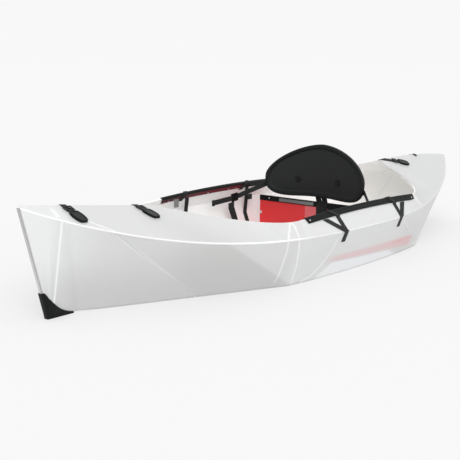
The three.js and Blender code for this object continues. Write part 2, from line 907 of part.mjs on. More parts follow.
function roundedPlate(x0, x1, halfWidth, corner, z0, z1) {
  const outline = new THREE.Shape();
  outline.moveTo(x0 + corner, -halfWidth);
  outline.lineTo(x1 - corner, -halfWidth);
  outline.quadraticCurveTo(x1, -halfWidth, x1, corner - halfWidth);
  outline.lineTo(x1, halfWidth - corner);
  outline.quadraticCurveTo(x1, halfWidth, x1 - corner, halfWidth);
  outline.lineTo(x0 + corner, halfWidth);
  outline.quadraticCurveTo(x0, halfWidth, x0, halfWidth - corner);
  outline.lineTo(x0, corner - halfWidth);
  outline.quadraticCurveTo(x0, -halfWidth, x0 + corner, -halfWidth);
  const plate = new THREE.ExtrudeGeometry(outline, { depth: z1 - z0, bevelEnabled: false, curveSegments: 6 });
  return plate.translate(0, 0, z0);
}

function seatPad() {
  const count = ringCount;
  const [lx, ly] = [(seatRear - seatFront) / 2, seatHalfWidth];
  const power = lowerPower * 2;
  const low = floorTop + clearance;
  const rows = [
    [2 * seatEdge, 0], [seatEdge / 2, 0], [0, seatEdge / 2], [0, seatThickness - seatEdge],
    [seatEdge, seatThickness], [ly / 2, seatThickness + seatCrown / 2], [ly * 0.8, seatThickness + seatCrown],
  ].map(([inset, up]) => {
    const ring = [];
    for (let k = 0; k < count; k += 1) {
      const a = (2 * Math.PI * k) / count;
      const [c, s] = [Math.cos(a), Math.sin(a)];
      ring.push(v3(
        (seatFront + seatRear) / 2 + Math.sign(c) * Math.abs(c) ** (2 / power) * (lx - inset),
        Math.sign(s) * Math.abs(s) ** (2 / power) * (ly - inset),
        low + up,
      ));
    }
    return ring;
  });
  return loft(rows);
}

function bulkhead() {
  const outline = new THREE.Shape();
  const low = floorTop + clearance;
  const foot = bottomHalfWidth - bulkheadFootInset;
  outline.moveTo(-foot, low);
  outline.lineTo(foot, low);
  outline.lineTo(bulkheadHalfWidth, bulkheadShoulder);
  outline.lineTo(bulkheadHalfWidth, bulkheadTop);
  outline.lineTo(-bulkheadHalfWidth, bulkheadTop);
  outline.lineTo(-bulkheadHalfWidth, bulkheadShoulder);
  outline.closePath();
  const plate = new THREE.ExtrudeGeometry(outline, { depth: sheet, bevelEnabled: false });
  plate.rotateX(Math.PI / 2).rotateZ(Math.PI / 2);
  return plate.translate(bulkheadX - sheet / 2, 0, 0);
}

function bulkheadTrim() {
  const [inner, outer] = [sheet / 2 + clearance, sheet / 2 + clearance + trimWall];
  const [low, high] = [bulkheadTop - trimHeight, bulkheadTop + clearance];
  const profile = [
    [-outer, low], [-outer, high + trimWall], [outer, high + trimWall], [outer, low],
    [inner, low], [inner, high], [-inner, high], [-inner, low],
  ];
  return loft([-1, 1].map((side) => profile.map(([x, z]) => v3(bulkheadX + x, side * bulkheadHalfWidth, z))));
}

function buildInside() {
  const floorHalfWidth = bottomHalfWidth - floorMargin;
  const board = roundedPlate(floorFront, floorRear, floorHalfWidth, floorCorner, floorLow, floorTop);
  add('floorboard', shape(solid(board)), finishes.black);
  add('seat_pad', seatPad(), finishes.foam);
  add('bulkhead', shape(solid(bulkhead())), finishes.red);
  add('bulkhead_trim', bulkheadTrim(), finishes.black);
  const x = bulkheadX - sheet / 2 - clearance - trimWall - skin;
  const y = supportSpacing / 2;
  const high = backBottom + backArch + supportHold;
  const strap = ribbon([
    v3(x, y, bulkheadTop - supportFoot), v3(x, y, bulkheadTop + supportKnee),
    v3(x - supportReach, y, high), v3(x - supportReach, y, high + trimHeight),
  ], v3(0, 1, 0), supportWidth);
  onBothSides('support_strap', strap, finishes.web);
}

// Deck buckles, built flat (X along the ridge, Y down the deck, Z off it) and laid on the deck
function deckFrame({ x, side, slant, mouth }) {
  const turn = THREE.MathUtils.degToRad(slant);
  const ridge = deckAt(x, 0);
  const reach = mouth + socketLength / 2;
  const downhill = deckAt(x, side * sheet).sub(ridge).normalize();
  const aft = deckAt(x + sheet, 0).sub(ridge).normalize();
  const aim = shifted(shifted(ridge, downhill, reach * Math.cos(turn)), aft, reach * Math.sin(turn));
  const middle = deckAt(aim.x, aim.y);
  const down = deckAt(aim.x, aim.y + side * sheet).sub(middle).normalize();
  const wide = deckAt(aim.x + side * sheet, aim.y).sub(middle);
  wide.addScaledVector(down, -wide.dot(down)).normalize();
  const up = wide.clone().cross(down).normalize();
  down.applyAxisAngle(up, side * -turn);
  wide.applyAxisAngle(up, side * -turn);
  const origin = shifted(middle, down, -reach);
  const frame = new THREE.Matrix4().makeBasis(wide, down, up).setPosition(origin);
  let lift = 0;
  for (let i = -deckSamples; i <= deckSamples; i += 1) {
    for (let j = 0; j <= deckSamples; j += 1) {
      const long = lerp(mouth - latchLength, mouth + socketLength, j / deckSamples);
      const p = v3((socketWidth / 2) * (i / deckSamples), long, 0).applyMatrix4(frame);
      if (p.y * side > 0 && isDecked(p.x)) lift = Math.max(lift, deckAt(p.x, p.y).sub(p).dot(up));
    }
  }
  wide.multiplyScalar(side);
  return { frame: frame.setPosition(origin.addScaledVector(up, lift + seam)), wide };
}

// The socket's outline: widest before its middle, with round shoulders and a short straight end
function socketBody(mouth, inset, low, high, round) {
  const shoulder = mouth + socketLength * 0.4;
  const end = mouth + socketLength - inset;
  const [throat, wide, tip] = [socketThroatWidth, socketWidth, socketEndWidth].map((w) => w / 2 - inset);
  const outline = new THREE.Shape();
  outline.moveTo(-throat, mouth + inset);
  outline.lineTo(throat, mouth + inset);
  outline.quadraticCurveTo(wide, lerp(mouth, shoulder, 1 / 2), wide, shoulder);
  outline.quadraticCurveTo(wide, lerp(shoulder, end, 0.8), tip, end);
  outline.lineTo(-tip, end);
  outline.quadraticCurveTo(-wide, lerp(shoulder, end, 0.8), -wide, shoulder);
  outline.quadraticCurveTo(-wide, lerp(mouth, shoulder, 1 / 2), -throat, mouth + inset);
  const body = new THREE.ExtrudeGeometry(outline, {
    depth: high - low - 2 * round,
    bevelEnabled: round > 0,
    bevelThickness: round,
    bevelSize: round,
    bevelOffset: -round,
    bevelSegments: 2,
    curveSegments: 5,
  });
  return body.translate(0, 0, low + round);
}

function socket({ mouth }) {
  const [low, high] = [clearance, socketThickness];
  const floor = low + socketFloor;
  const half = mouthWidth / 2;
  const cavity = box(-half, half, mouth - sheet, mouth + mouthDepth, floor, floor + mouthHeight);
  const near = mouth + mouthDepth - sheet - sideWindow;
  const windows = box(-socketWidth, socketWidth, near, near + sideWindow, floor, floor + mouthHeight);
  const recess = socketBody(mouth, socketRim, high - socketRecess, high + overrun, 0);
  return cut(socketBody(mouth, 0, low, high, socketRound), cavity, windows, recess);
}

function roundedFrame(halfWidth, y0, y1, corner) {
  const outline = new THREE.Shape();
  outline.moveTo(halfWidth, y1);
  outline.lineTo(-halfWidth, y1);
  outline.lineTo(-halfWidth, y0 + corner);
  outline.quadraticCurveTo(-halfWidth, y0, corner - halfWidth, y0);
  outline.lineTo(halfWidth - corner, y0);
  outline.quadraticCurveTo(halfWidth, y0, halfWidth, y0 + corner);
  outline.closePath();
  return outline;
}

function latch({ mouth }) {
  const low = clearance + socketFloor + latchPlay;
  const high = clearance + socketFloor + mouthHeight - latchPlay;
  const [start, stop] = [mouth - latchLength, mouth - latchNeck];
  const outline = roundedFrame(latchWidth / 2, start, stop, latchRound);
  const depth = high - low;
  const frame = new THREE.ExtrudeGeometry(outline, { depth, bevelEnabled: false, curveSegments: 4 });
  frame.translate(0, 0, low);
  const slot = (stop - start - 3 * latchBar) / 2;
  const slots = [0, 1].map((k) => {
    const from = start + latchBar + k * (slot + latchBar);
    return box(latchBar - latchWidth / 2, latchWidth / 2 - latchBar, from, from + slot, 0, socketThickness);
  });
  const ladder = cut(frame, ...slots);
  const prongs = [-1, 1].map((side) => {
    const v = (side * prongSpread) / 2;
    return box(v - prongWidth / 2, v + prongWidth / 2, stop - latchBar / 2, mouth + prongLength, low, high);
  });
  return joined(ladder, ...prongs);
}

function deckWebbing(place, { frame, wide }) {
  const other = deckFrame({ ...place, side: -place.side, slant: -place.slant, mouth: 0 });
  const [ridge, narrow] = [deckAt(place.x, 0), Math.cos(THREE.MathUtils.degToRad(place.slant))];
  const slope = deckAt(place.x, socketLength).sub(ridge).normalize();
  const peak = ridge.clone();
  peak.z += skin / Math.abs(slope.y);
  const across = deckAt(place.x + sheet, 0).sub(ridge).normalize();
  const path = [
    v3(0, place.reach, skin).applyMatrix4(other.frame),
    peak,
    v3(0, place.mouth - latchNeck - latchPlay, skin).applyMatrix4(frame),
  ];
  return ribbon(path, [other.wide, across.divideScalar(narrow), wide]);
}

function addDeckStrap(name, place) {
  const placed = deckFrame(place);
  add(name, deckWebbing(place, placed), finishes.web);
  add(`${name}_latch`, latch(place).applyMatrix4(placed.frame), finishes.grey);
  add(`${name}_socket`, socket(place).applyMatrix4(placed.frame), finishes.black);
}

function buildDeckStraps() {
  const plain = { side: -1, slant: 0, mouth: mouthFromRidge, reach: strapReach };
  addDeckStrap('bow_tip_strap', { ...plain, x: bowTipStrapInset - half });
  addDeckStrap('bow_deck_strap', { ...plain, x: cockpitFront - bowDeckStrapGap });
  addDeckStrap('stern_deck_strap', {
    side: -1,
    slant: sternDeckSlant,
    mouth: sternDeckMouth,
    reach: sternDeckReach,
    x: cockpitRear + sternDeckStrapGap,
  });
  addDeckStrap('stern_tip_strap', { ...plain, side: 1, reach: sternTipReach, x: half - sternTipStrapInset });
}

buildRails();
buildCaps();
buildLoops();
buildBackrest();
buildArms();
buildInside();
buildDeckStraps();

export default group;
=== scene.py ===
# %% [markdown]
# # Dressing a folding kayak
# The kayak is folded from one sheet of white twin-wall plastic. Its shape, straps and buckles
# come as a fixed frame, already at the right size and place, in metres: the bow points to -X,
# starboard is +Y and up is +Z. This lesson gives that frame its finishes, replaces the soft
# pieces with fuller ones, adds the small trim, and sets up the studio.

# %% Load the frame
import math

import bmesh
import bpy
from mathutils import Matrix, Vector


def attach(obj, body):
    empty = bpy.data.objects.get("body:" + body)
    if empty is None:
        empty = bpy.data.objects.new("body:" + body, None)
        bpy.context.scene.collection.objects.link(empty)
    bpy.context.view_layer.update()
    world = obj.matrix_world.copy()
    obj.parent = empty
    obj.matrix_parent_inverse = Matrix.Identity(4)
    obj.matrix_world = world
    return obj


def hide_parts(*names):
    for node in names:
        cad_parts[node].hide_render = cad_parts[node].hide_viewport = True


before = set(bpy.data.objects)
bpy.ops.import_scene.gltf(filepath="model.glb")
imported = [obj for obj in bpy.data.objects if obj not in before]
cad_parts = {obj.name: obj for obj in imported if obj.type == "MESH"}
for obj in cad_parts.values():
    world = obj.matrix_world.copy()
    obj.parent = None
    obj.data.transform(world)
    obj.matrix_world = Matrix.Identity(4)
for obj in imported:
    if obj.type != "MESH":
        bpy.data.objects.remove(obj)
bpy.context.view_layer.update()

# %% [markdown]
# ## The camera
# A camera fitted to a photograph is kept as its place and three angles. Pitch tips it down,
# roll turns it about its own axis, and the lens follows from the field of view on a 36 mm sensor.

# %% Place the camera
CAMERA_PLACE = Vector((-2.98579, -2.08865, 0.77378))
YAW, PITCH, ROLL = 0.67881, 0.18368, -0.01402
FOCAL_PIXELS, FRAME_PIXELS = 900, 460
SENSOR, NEAREST = 36, 0.05

forward = Vector((math.cos(YAW) * math.cos(PITCH), math.sin(YAW) * math.cos(PITCH), -math.sin(PITCH)))
level = Vector((math.sin(YAW), -math.cos(YAW), 0))
down = forward.cross(level)
right = math.cos(ROLL) * level + math.sin(ROLL) * down
up = math.sin(ROLL) * level - math.cos(ROLL) * down

lens = bpy.data.cameras.new("camera")
lens.sensor_width = SENSOR
lens.lens = SENSOR * FOCAL_PIXELS / FRAME_PIXELS
lens.clip_start = NEAREST
camera = bpy.data.objects.new("camera", lens)
bpy.context.scene.collection.objects.link(camera)
turn = Matrix((right, up, -forward)).transposed()
camera.matrix_world = Matrix.Translation(CAMERA_PLACE) @ turn.to_4x4()
bpy.context.scene.camera = camera
print("camera lens", round(lens.lens, 2), "mm")

# %% [markdown]
# ## The sheet's own lines
# Paint and creases have to fall on the folds, so the script needs the sheet's curves. They could
# be measured on the frame's mesh, but a formula is short and exact, and shader nodes can hold it
# too. The hull has three curves on each side: the chine at the bottom, the gunwale crease, and
# the upper edge. A share runs from -1 at the bow to 1 at the stern.

# %% The gunwale crease
HALF = 1.375
HALF_BEAM = 0.405
TIP_HALF_WIDTH = 0.006
CREASE_HEIGHT = 0.178
BOW_TIP, STERN_TIP = 0.353, 0.310
BOW_POWER, STERN_POWER = 3.5, 2.4
BOW_PLAN, STERN_PLAN = 2.6, 1.95


def crease_point(share):
    """The gunwale crease at a share of the half length, on starboard."""
    reach = abs(share)
    bow, stern = (BOW_TIP, BOW_POWER, BOW_PLAN), (STERN_TIP, STERN_POWER, STERN_PLAN)
    tip, power, plan = bow if share < 0 else stern
    return Vector((
        share * HALF,
        HALF_BEAM + (TIP_HALF_WIDTH - HALF_BEAM) * reach ** plan,
        CREASE_HEIGHT + (tip - CREASE_HEIGHT) * reach ** power,
    ))


print("widest at", [round(v, 3) for v in crease_point(0)])

# %% The rim under the rails
RAIL_FRONT, RAIL_REAR = -0.446, 0.350
RIM_FRONT, RIM_REAR = (0.343, 0.238), (0.358, 0.249)
RIM_CROWN = 0.010
SHEET = 0.005
RAIL_SKIN = 0.0042


def rim_point(x):
    """The upper edge of the sheet under the rail, on starboard."""
    along = (x - RAIL_FRONT) / (RAIL_REAR - RAIL_FRONT)
    crown = RIM_CROWN * 4 * along * (1 - along)
    y = RIM_FRONT[0] + (RIM_REAR[0] - RIM_FRONT[0]) * along
    return Vector((x, y, RIM_FRONT[1] + (RIM_REAR[1] - RIM_FRONT[1]) * along + crown))


def on_strip(x, down, out, side=1):
    """A point a distance down from the rim and out from the strip, with the way out there."""
    rim, crease = rim_point(x), crease_point(x / HALF)
    slope = Vector((0, crease.y - rim.y, crease.z - rim.z)).normalized()
    outward = Vector((0, -slope.z, slope.y))
    point = rim + slope * down + outward * out
    mirror = Vector((1, side, 1))
    return point * mirror, outward * mirror


print("rim amidships", [round(v, 3) for v in rim_point(0)])

# %% [markdown]
# ## Shader groups
# An effect that several finishes share is built once as a node group with named inputs and
# outputs, and each material sets its own values. Groups here put out only masks, values and
# heights. A small helper keeps the wiring short.

# %% A helper that adds and links nodes
class Wiring:
    """Adds nodes to a tree and links their inputs in one call."""

    def __init__(self, tree):
        self.tree = tree

    def add(self, kind, inputs=None, **settings):
        node = self.tree.nodes.new(kind)
        for key, value in settings.items():
            setattr(node, key, value)
        for key, value in (inputs or {}).items():
            socket = node.inputs[key]
            if isinstance(value, bpy.types.NodeSocket):
                self.tree.links.new(value, socket)
            else:
                socket.default_value = value
        return node

    def math(self, operation, a, b=0.0, c=0.0, clamp=False):
        node = self.add("ShaderNodeMath", {0: a, 1: b, 2: c}, operation=operation, use_clamp=clamp)
        return node.outputs[0]

    def vector(self, operation, a, b=(0, 0, 0), scale=1.0):
        inputs = {0: a, 1: b}
        if operation == "SCALE":
            inputs = {0: a, "Scale": scale}
        node = self.add("ShaderNodeVectorMath", inputs, operation=operation)
        return node.outputs["Value" if operation in ("LENGTH", "DOT_PRODUCT") else "Vector"]

    def smooth(self, value, low, high, to_low=0.0, to_high=1.0):
        inputs = {"Value": value, "From Min": low, "From Max": high, "To Min": to_low, "To Max": to_high}
        return self.add("ShaderNodeMapRange", inputs, interpolation_type="SMOOTHSTEP").outputs["Result"]

    def noise(self, place, scale, detail, roughness=0.5):
        inputs = {"Vector": place, "Scale": scale, "Detail": detail, "Roughness": roughness}
        return self.add("ShaderNodeTexNoise", inputs).outputs["Fac"]

    def mix(self, factor, a, b):
        node = self.add("ShaderNodeMix", {0: factor, 6: a, 7: b}, data_type="RGBA")
        return node.outputs[2]

    def times(self, first, *others):
        for other in others:
            first = self.math("MULTIPLY", first, other)
        return first

    def window(self, value, rise, fall):
        """One between two soft edges, each given as the two values where it starts and ends."""
        return self.times(self.smooth(value, *rise), self.smooth(value, *fall, 1.0, 0.0))

    def place(self):
        """X, Y and Z of the point that is shaded, in the boat's own frame."""
        point = self.add("ShaderNodeTexCoord").outputs["Object"]
        return self.add("ShaderNodeSeparateXYZ", {0: point}).outputs

    def normal(self):
        """X, Y and Z of the way that the point's face looks."""
        facing = self.add("ShaderNodeNewGeometry").outputs["Normal"]
        return self.add("ShaderNodeSeparateXYZ", {0: facing}).outputs

    def link(self, source, target):
        self.tree.links.new(source, target)


print("wiring helper ready")

# %% A helper that starts a group
def new_group(name, inputs, outputs):
    """An empty shader group with float or vector sockets, and the wiring of its tree."""
    group = bpy.data.node_groups.new(name, "ShaderNodeTree")
    kinds = {"f": "NodeSocketFloat", "v": "NodeSocketVector"}
    for label, kind, value in inputs:
        socket = group.interface.new_socket(name=label, in_out="INPUT", socket_type=kinds[kind])
        socket.default_value = value
    for label, kind in outputs:
        group.interface.new_socket(name=label, in_out="OUTPUT", socket_type=kinds[kind])
    return group, Wiring(group)


print("group helper ready")

# %% [markdown]
# ### Fold line
# A crease in the plastic turns white where the sheet is crushed. A straight fold is a line in
# space, so its mask is the distance of a surface point to that line. The group takes the line's
# start and direction, and port and starboard share it through the absolute value of Y.

# %% Group: Fold Line
SHORT_FADE = 0.002


def build_fold_line():
    group, w = new_group(
        "Fold Line",
        [
            ("Start", "v", (0, 0, 0)), ("Direction", "v", (0, 0, 1)), ("Length", "f", 0.1),
            ("Width", "f", 0.004), ("Core", "f", 0.35), ("Strength", "f", 1.0), ("Fade", "f", SHORT_FADE),
        ],
        [("Mask", "f")],
    )
    ends = w.add("NodeGroupInput").outputs
    parts = w.place()
    folded = w.add("ShaderNodeCombineXYZ", {0: parts[0], 1: w.math("ABSOLUTE", parts[1]), 2: parts[2]})
    offset = w.vector("SUBTRACT", folded.outputs[0], ends["Start"])
    along = w.vector("DOT_PRODUCT", offset, ends["Direction"])
    beside = w.vector("SUBTRACT", offset, w.vector("SCALE", ends["Direction"], scale=along))
    reach = w.math("DIVIDE", w.vector("LENGTH", beside), ends["Width"])
    near = w.smooth(reach, ends["Core"], 1.0, 1.0, 0.0)
    after = w.smooth(along, -SHORT_FADE, 0.0)
    before = w.smooth(along, w.math("SUBTRACT", ends["Length"], ends["Fade"]), ends["Length"], 1.0, 0.0)
    w.link(w.times(near, after, before, ends["Strength"]), w.add("NodeGroupOutput").inputs["Mask"])
    return group


fold_line = build_fold_line()
print("group:", fold_line.name)

# %% [markdown]
# ### Gunwale crease
# The long crease bends, so its height is written as the same power curve that shaped the hull.
# The group compares a point's height with the curve at that point's X.

# %% Group: Long Crease
CREASE_CORE = 0.4


def rising_end(w, reach, power, tip):
    """The crease's height towards one end, as crease_point has it."""
    return w.math("MULTIPLY_ADD", w.math("POWER", reach, power), tip - CREASE_HEIGHT, CREASE_HEIGHT)


def build_long_crease():
    group, w = new_group("Long Crease", [("Width", "f", 0.003)], [("Mask", "f"), ("Above", "f")])
    width = w.add("NodeGroupInput").outputs["Width"]
    place = w.place()
    reach = w.math("DIVIDE", w.math("ABSOLUTE", place[0]), HALF)
    bow, stern = rising_end(w, reach, BOW_POWER, BOW_TIP), rising_end(w, reach, STERN_POWER, STERN_TIP)
    aft = w.math("GREATER_THAN", place[0], 0.0)
    ahead = w.math("SUBTRACT", 1.0, aft)
    height = w.math("ADD", w.times(stern, aft), w.times(bow, ahead))
    gap = w.math("SUBTRACT", place[2], height)
    near = w.smooth(w.math("DIVIDE", w.math("ABSOLUTE", gap), width), CREASE_CORE, 1.0, 1.0, 0.0)
    out = w.add("NodeGroupOutput")
    w.link(near, out.inputs["Mask"])
    w.link(w.math("GREATER_THAN", gap, 0.0), out.inputs["Above"])
    return group


long_crease = build_long_crease()
print("group:", long_crease.name)

# %% [markdown]
# ### Grain, flutes and weave
# Moulded plastic has a fine pebble grain. Twin-wall sheet shows its ribs as faint lines that run
# along the boat. Webbing is woven in a herringbone of two slanted waves. Pictures of these would
# need a UV map on every piece, and noise and waves on Object coordinates need none.

# %% Group: Grain
CLOUD_SCALE, CLOUD_DETAIL, CLOUD_ROUGHNESS = 9.0, 4.0, 0.55
PEBBLE_DETAIL, PEBBLE_ROUGHNESS = 3.0, 0.6


def build_grain():
    group, w = new_group(
        "Grain", [("Scale", "f", 400.0), ("Spread", "f", 0.1)], [("Height", "f"), ("Value", "f")],
    )
    inputs = w.add("NodeGroupInput").outputs
    place = w.add("ShaderNodeTexCoord").outputs["Object"]
    pebbles = w.noise(place, inputs["Scale"], PEBBLE_DETAIL, PEBBLE_ROUGHNESS)
    clouds = w.noise(place, CLOUD_SCALE, CLOUD_DETAIL, CLOUD_ROUGHNESS)
    centred = w.math("SUBTRACT", clouds, 0.5)
    out = w.add("NodeGroupOutput")
    w.link(pebbles, out.inputs["Height"])
    w.link(w.math("MULTIPLY", centred, inputs["Spread"]), out.inputs["Value"])
    return group


grain = build_grain()
print("group:", grain.name)

# %% Group: Flutes
def build_flutes():
    group, w = new_group("Flutes", [("Pitch", "f", 0.005)], [("Height", "f")])
    pitch = w.add("NodeGroupInput").outputs["Pitch"]
    place = w.place()
    across = w.math("ADD", w.math("ABSOLUTE", place[1]), place[2])
    phase = w.math("MULTIPLY", w.math("DIVIDE", across, pitch), 2 * math.pi)
    wave = w.math("MULTIPLY_ADD", w.math("SINE", phase), 0.5, 0.5)
    w.link(wave, w.add("NodeGroupOutput").inputs["Height"])
    return group


flutes = build_flutes()
print("group:", flutes.name)

# %% Group: Weave
SLANT_ACROSS, SLANT_UP = 0.6, 0.8
YARN_GAP, YARN_TOP = 0.1, 0.7


def yarns(w, value, pitch):
    """The rounded backs of parallel yarns, zero in the gaps between them."""
    phase = w.math("MULTIPLY", w.math("DIVIDE", value, pitch), math.pi)
    return w.math("ABSOLUTE", w.math("SINE", phase))


def build_weave():
    group, w = new_group("Weave", [("Pitch", "f", 0.0016)], [("Height", "f"), ("Thread", "f")])
    pitch = w.add("NodeGroupInput").outputs["Pitch"]
    place = w.place()
    across = w.math("ADD", place[0], w.times(place[1], SLANT_ACROSS))
    rise = w.math("ADD", place[2], w.times(place[1], SLANT_UP))
    one = yarns(w, w.math("ADD", across, rise), pitch)
    two = yarns(w, w.math("SUBTRACT", across, rise), pitch)
    both = w.times(one, two)
    out = w.add("NodeGroupOutput")
    w.link(both, out.inputs["Height"])
    w.link(w.smooth(both, YARN_GAP, YARN_TOP), out.inputs["Thread"])
    return group


weave = build_weave()
print("group:", weave.name)

# %% [markdown]
# ### The red band under the rim
# Inside the cockpit a dark red band shows below each rail, partly on the sheet and partly on the
# rail's foot. A strip of geometry would have to follow the rim's crown, and paint on two
# materials has to meet. So one group holds the rim's curve, and both materials use its mask.

# %% Group: Rim Band
BAND_TOP, BAND_FOOT, BAND_EDGE = 0.0090, 0.0280, 0.0015
BAND_FRONT, BAND_REAR = -0.405, 0.139
BAND_DEEPENS, BAND_PALEST = (-0.36, -0.10), 0.45


def build_rim_band():
    group, w = new_group("Rim Band", [("Inside", "f", 1.0)], [("Mask", "f")])
    inside = w.add("NodeGroupInput").outputs["Inside"]
    place = w.place()
    reach = RAIL_REAR - RAIL_FRONT
    along = w.math("MULTIPLY_ADD", place[0], 1 / reach, -RAIL_FRONT / reach)
    climb = RIM_REAR[1] - RIM_FRONT[1] + 4 * RIM_CROWN
    bend = w.math("MULTIPLY_ADD", along, -4 * RIM_CROWN, climb)
    below = w.math("SUBTRACT", w.math("MULTIPLY_ADD", along, bend, RIM_FRONT[1]), place[2])
    height = w.window(below, (BAND_TOP, BAND_TOP + BAND_EDGE), (BAND_FOOT - BAND_EDGE, BAND_FOOT))
    paler = w.smooth(place[0], *BAND_DEEPENS, BAND_PALEST, 1.0)
    after = w.math("GREATER_THAN", place[0], BAND_FRONT)
    before = w.math("LESS_THAN", place[0], BAND_REAR)
    w.link(w.times(height, inside, paler, after, before), w.add("NodeGroupOutput").inputs["Mask"])
    return group


rim_band = build_rim_band()
print("group:", rim_band.name)

# %% [markdown]
# ### The dimples round the buttons
# Two buttons draw the backrest in. Modelled dimples would need a much finer mesh, and a round
# mask can lower the foam there instead and darken it with painted shade. Y is taken without its
# sign, so one mask serves both buttons.

# %% Group: Button Dent
BUTTON_Y, BUTTON_Z = 0.100, 0.284
DENT_CORE, DENT_RADIUS = 0.009, 0.020


def build_button_dent():
    group, w = new_group("Button Dent", [], [("Mask", "f")])
    place = w.place()
    across = w.math("SUBTRACT", w.math("ABSOLUTE", place[1]), BUTTON_Y)
    above = w.math("SUBTRACT", place[2], BUTTON_Z)
    radius = w.vector("LENGTH", w.add("ShaderNodeCombineXYZ", {0: across, 1: above}).outputs[0])
    mask = w.smooth(radius, DENT_CORE, DENT_RADIUS, 1.0, 0.0)
    w.link(mask, w.add("NodeGroupOutput").inputs["Mask"])
    return group


button_dent = build_button_dent()
print("group:", button_dent.name)

# %% [markdown]
# ### Materials
# Every finish starts the same way: a Principled shader with some constant values. Constants are
# set on the shader's own sockets, and only what changes over the surface is wired.

# %% A material with its shader
def new_material(name, **constants):
    """A material with a Principled shader whose constant values are set on its own sockets."""
    material = bpy.data.materials.new(name)
    material.use_nodes = True
    tree = material.node_tree
    tree.nodes.clear()
    w = Wiring(tree)
    shader = w.add("ShaderNodeBsdfPrincipled")
    for label, value in constants.items():
        shader.inputs[label.replace("_", " ")].default_value = value
    w.link(shader.outputs["BSDF"], w.add("ShaderNodeOutputMaterial").inputs["Surface"])
    return material, w, shader


def use_group(w, group, **values):
    """An instance of a shader group, whose inputs are given as values or as links."""
    return w.add("ShaderNodeGroup", values, node_tree=group)


def bump(w, shader, height, strength, distance):
    """Tilts the shader's normal by a height; distance is the full height in metres."""
    node = w.add("ShaderNodeBump", {"Height": height, "Strength": strength, "Distance": distance})
    w.link(node.outputs["Normal"], shader.inputs["Normal"])


print("ready to mix finishes")

# %% [markdown]
# ## The white sheet
# The real hull is one sheet of milky twin-wall plastic, scored and folded. One plain white would
# lose the folds and the soft changes of light from panel to panel. A painted texture would hold them,
# but only at one size. So the finish is built up in steps, each a function that gives a mask or a
# colour: the painted light and shade of the panels, the inner face with its painted light, the
# folds, a few thin lines, some of them painted shade, and the red print.
#
# ### Painted light and shade on the outer panels
# The sheet sags a little between its folds, so each panel mirrors the sky in its own grey. The
# mesh is flat there, so a painted tone for each panel stands in for that light and shade. Seen from
# the side, the edge of a panel is a straight line, which needs only its two ends, each an X and a Z.
# A pair of numbers below is a stretch of X or Z over which a painted tone sets in or dies away.

# %% Panels of the outer face
SLANTING_BEND = ((-0.770, 0.192), (-0.4523, 0.0129))
KEEL_TOP_LINE = ((-0.2286, 0.056), (0.2085, 0.035))
KEEL_FRONT_LINE = ((-0.2935, 0.0084), (-0.2286, 0.056))
KEEL_REAR_LINE = ((0.2085, 0.035), (0.2773, 0.0111))
FORK_X = -0.44
BOW_START, BOW_FOOT, BOW_LEAST = (-1.05, -0.80), (0.03, 0.22), 0.05
BEND_SOFT, BEND_SOFT_ON_DECK, DECK_SHARE, DECK_LEAST = 0.007, 0.09, 0.65, 0.30
STEM_END, STEM_TONE = (-1.30, -1.12), 0.8
MIDDLE_START, MIDDLE_END, MIDDLE_TONE = (-0.50, FORK_X), (0.18, 0.34), 0.5
CREASE_SOFT, KEEL_TOP_SOFT, KEEL_FRONT_SOFT, KEEL_REAR_SOFT = 0.006, 0.004, 0.005, 0.006


def below_line(w, place, line, soft):
    """One below a line drawn in side view, with a soft edge of half width soft."""
    (x0, z0), (x1, z1) = line
    rise = (z1 - z0) / (x1 - x0)
    height = w.math("MULTIPLY_ADD", place[0], rise, z0 - rise * x0)
    return w.smooth(w.math("SUBTRACT", height, place[2]), -soft, soft)


def bow_panel_shade(w, place):
    """One where painted shade darkens the panel below the slanting bend, fading out over the bow deck."""
    foot = w.smooth(place[2], *BOW_FOOT, 1.0, BOW_LEAST)
    front = w.math("MAXIMUM", w.smooth(place[0], *BOW_START), foot)
    on_side = below_line(w, place, SLANTING_BEND, BEND_SOFT)
    wide = below_line(w, place, SLANTING_BEND, BEND_SOFT_ON_DECK)
    on_deck = w.math("MULTIPLY_ADD", wide, DECK_SHARE, DECK_LEAST)
    deck = use_group(w, long_crease).outputs["Above"]
    low = w.math("ADD", w.times(deck, on_deck), w.times(w.math("SUBTRACT", 1.0, deck), on_side))
    return w.times(front, w.math("LESS_THAN", place[0], FORK_X), low)


def painted_light_panels(w, place):
    """One where painted light brightens the panels: the stem's side, and the middle between the fork and
    the rear.
    """
    stem = w.smooth(place[0], *STEM_END, 1.0, 0.0)
    middle = w.window(place[0], MIDDLE_START, MIDDLE_END)
    below_crease = w.smooth(place[2], CREASE_HEIGHT, CREASE_HEIGHT + CREASE_SOFT, 1.0, 0.0)
    return w.math("MAXIMUM", w.times(stem, STEM_TONE), w.times(middle, below_crease, MIDDLE_TONE))


def keel_panel(w, place):
    """One on the lowest panel amidships, which the ground lights from below."""
    return w.times(
        below_line(w, place, KEEL_TOP_LINE, KEEL_TOP_SOFT),
        below_line(w, place, KEEL_FRONT_LINE, KEEL_FRONT_SOFT),
        below_line(w, place, KEEL_REAR_LINE, KEEL_REAR_SOFT),
    )


print("slanting bend from", SLANTING_BEND[0], "to", SLANTING_BEND[1])

# %% Colour of the outer face
SHEET_DARK, SHEET_LIGHT = (0.53, 0.534, 0.534, 1), (0.585, 0.589, 0.589, 1)
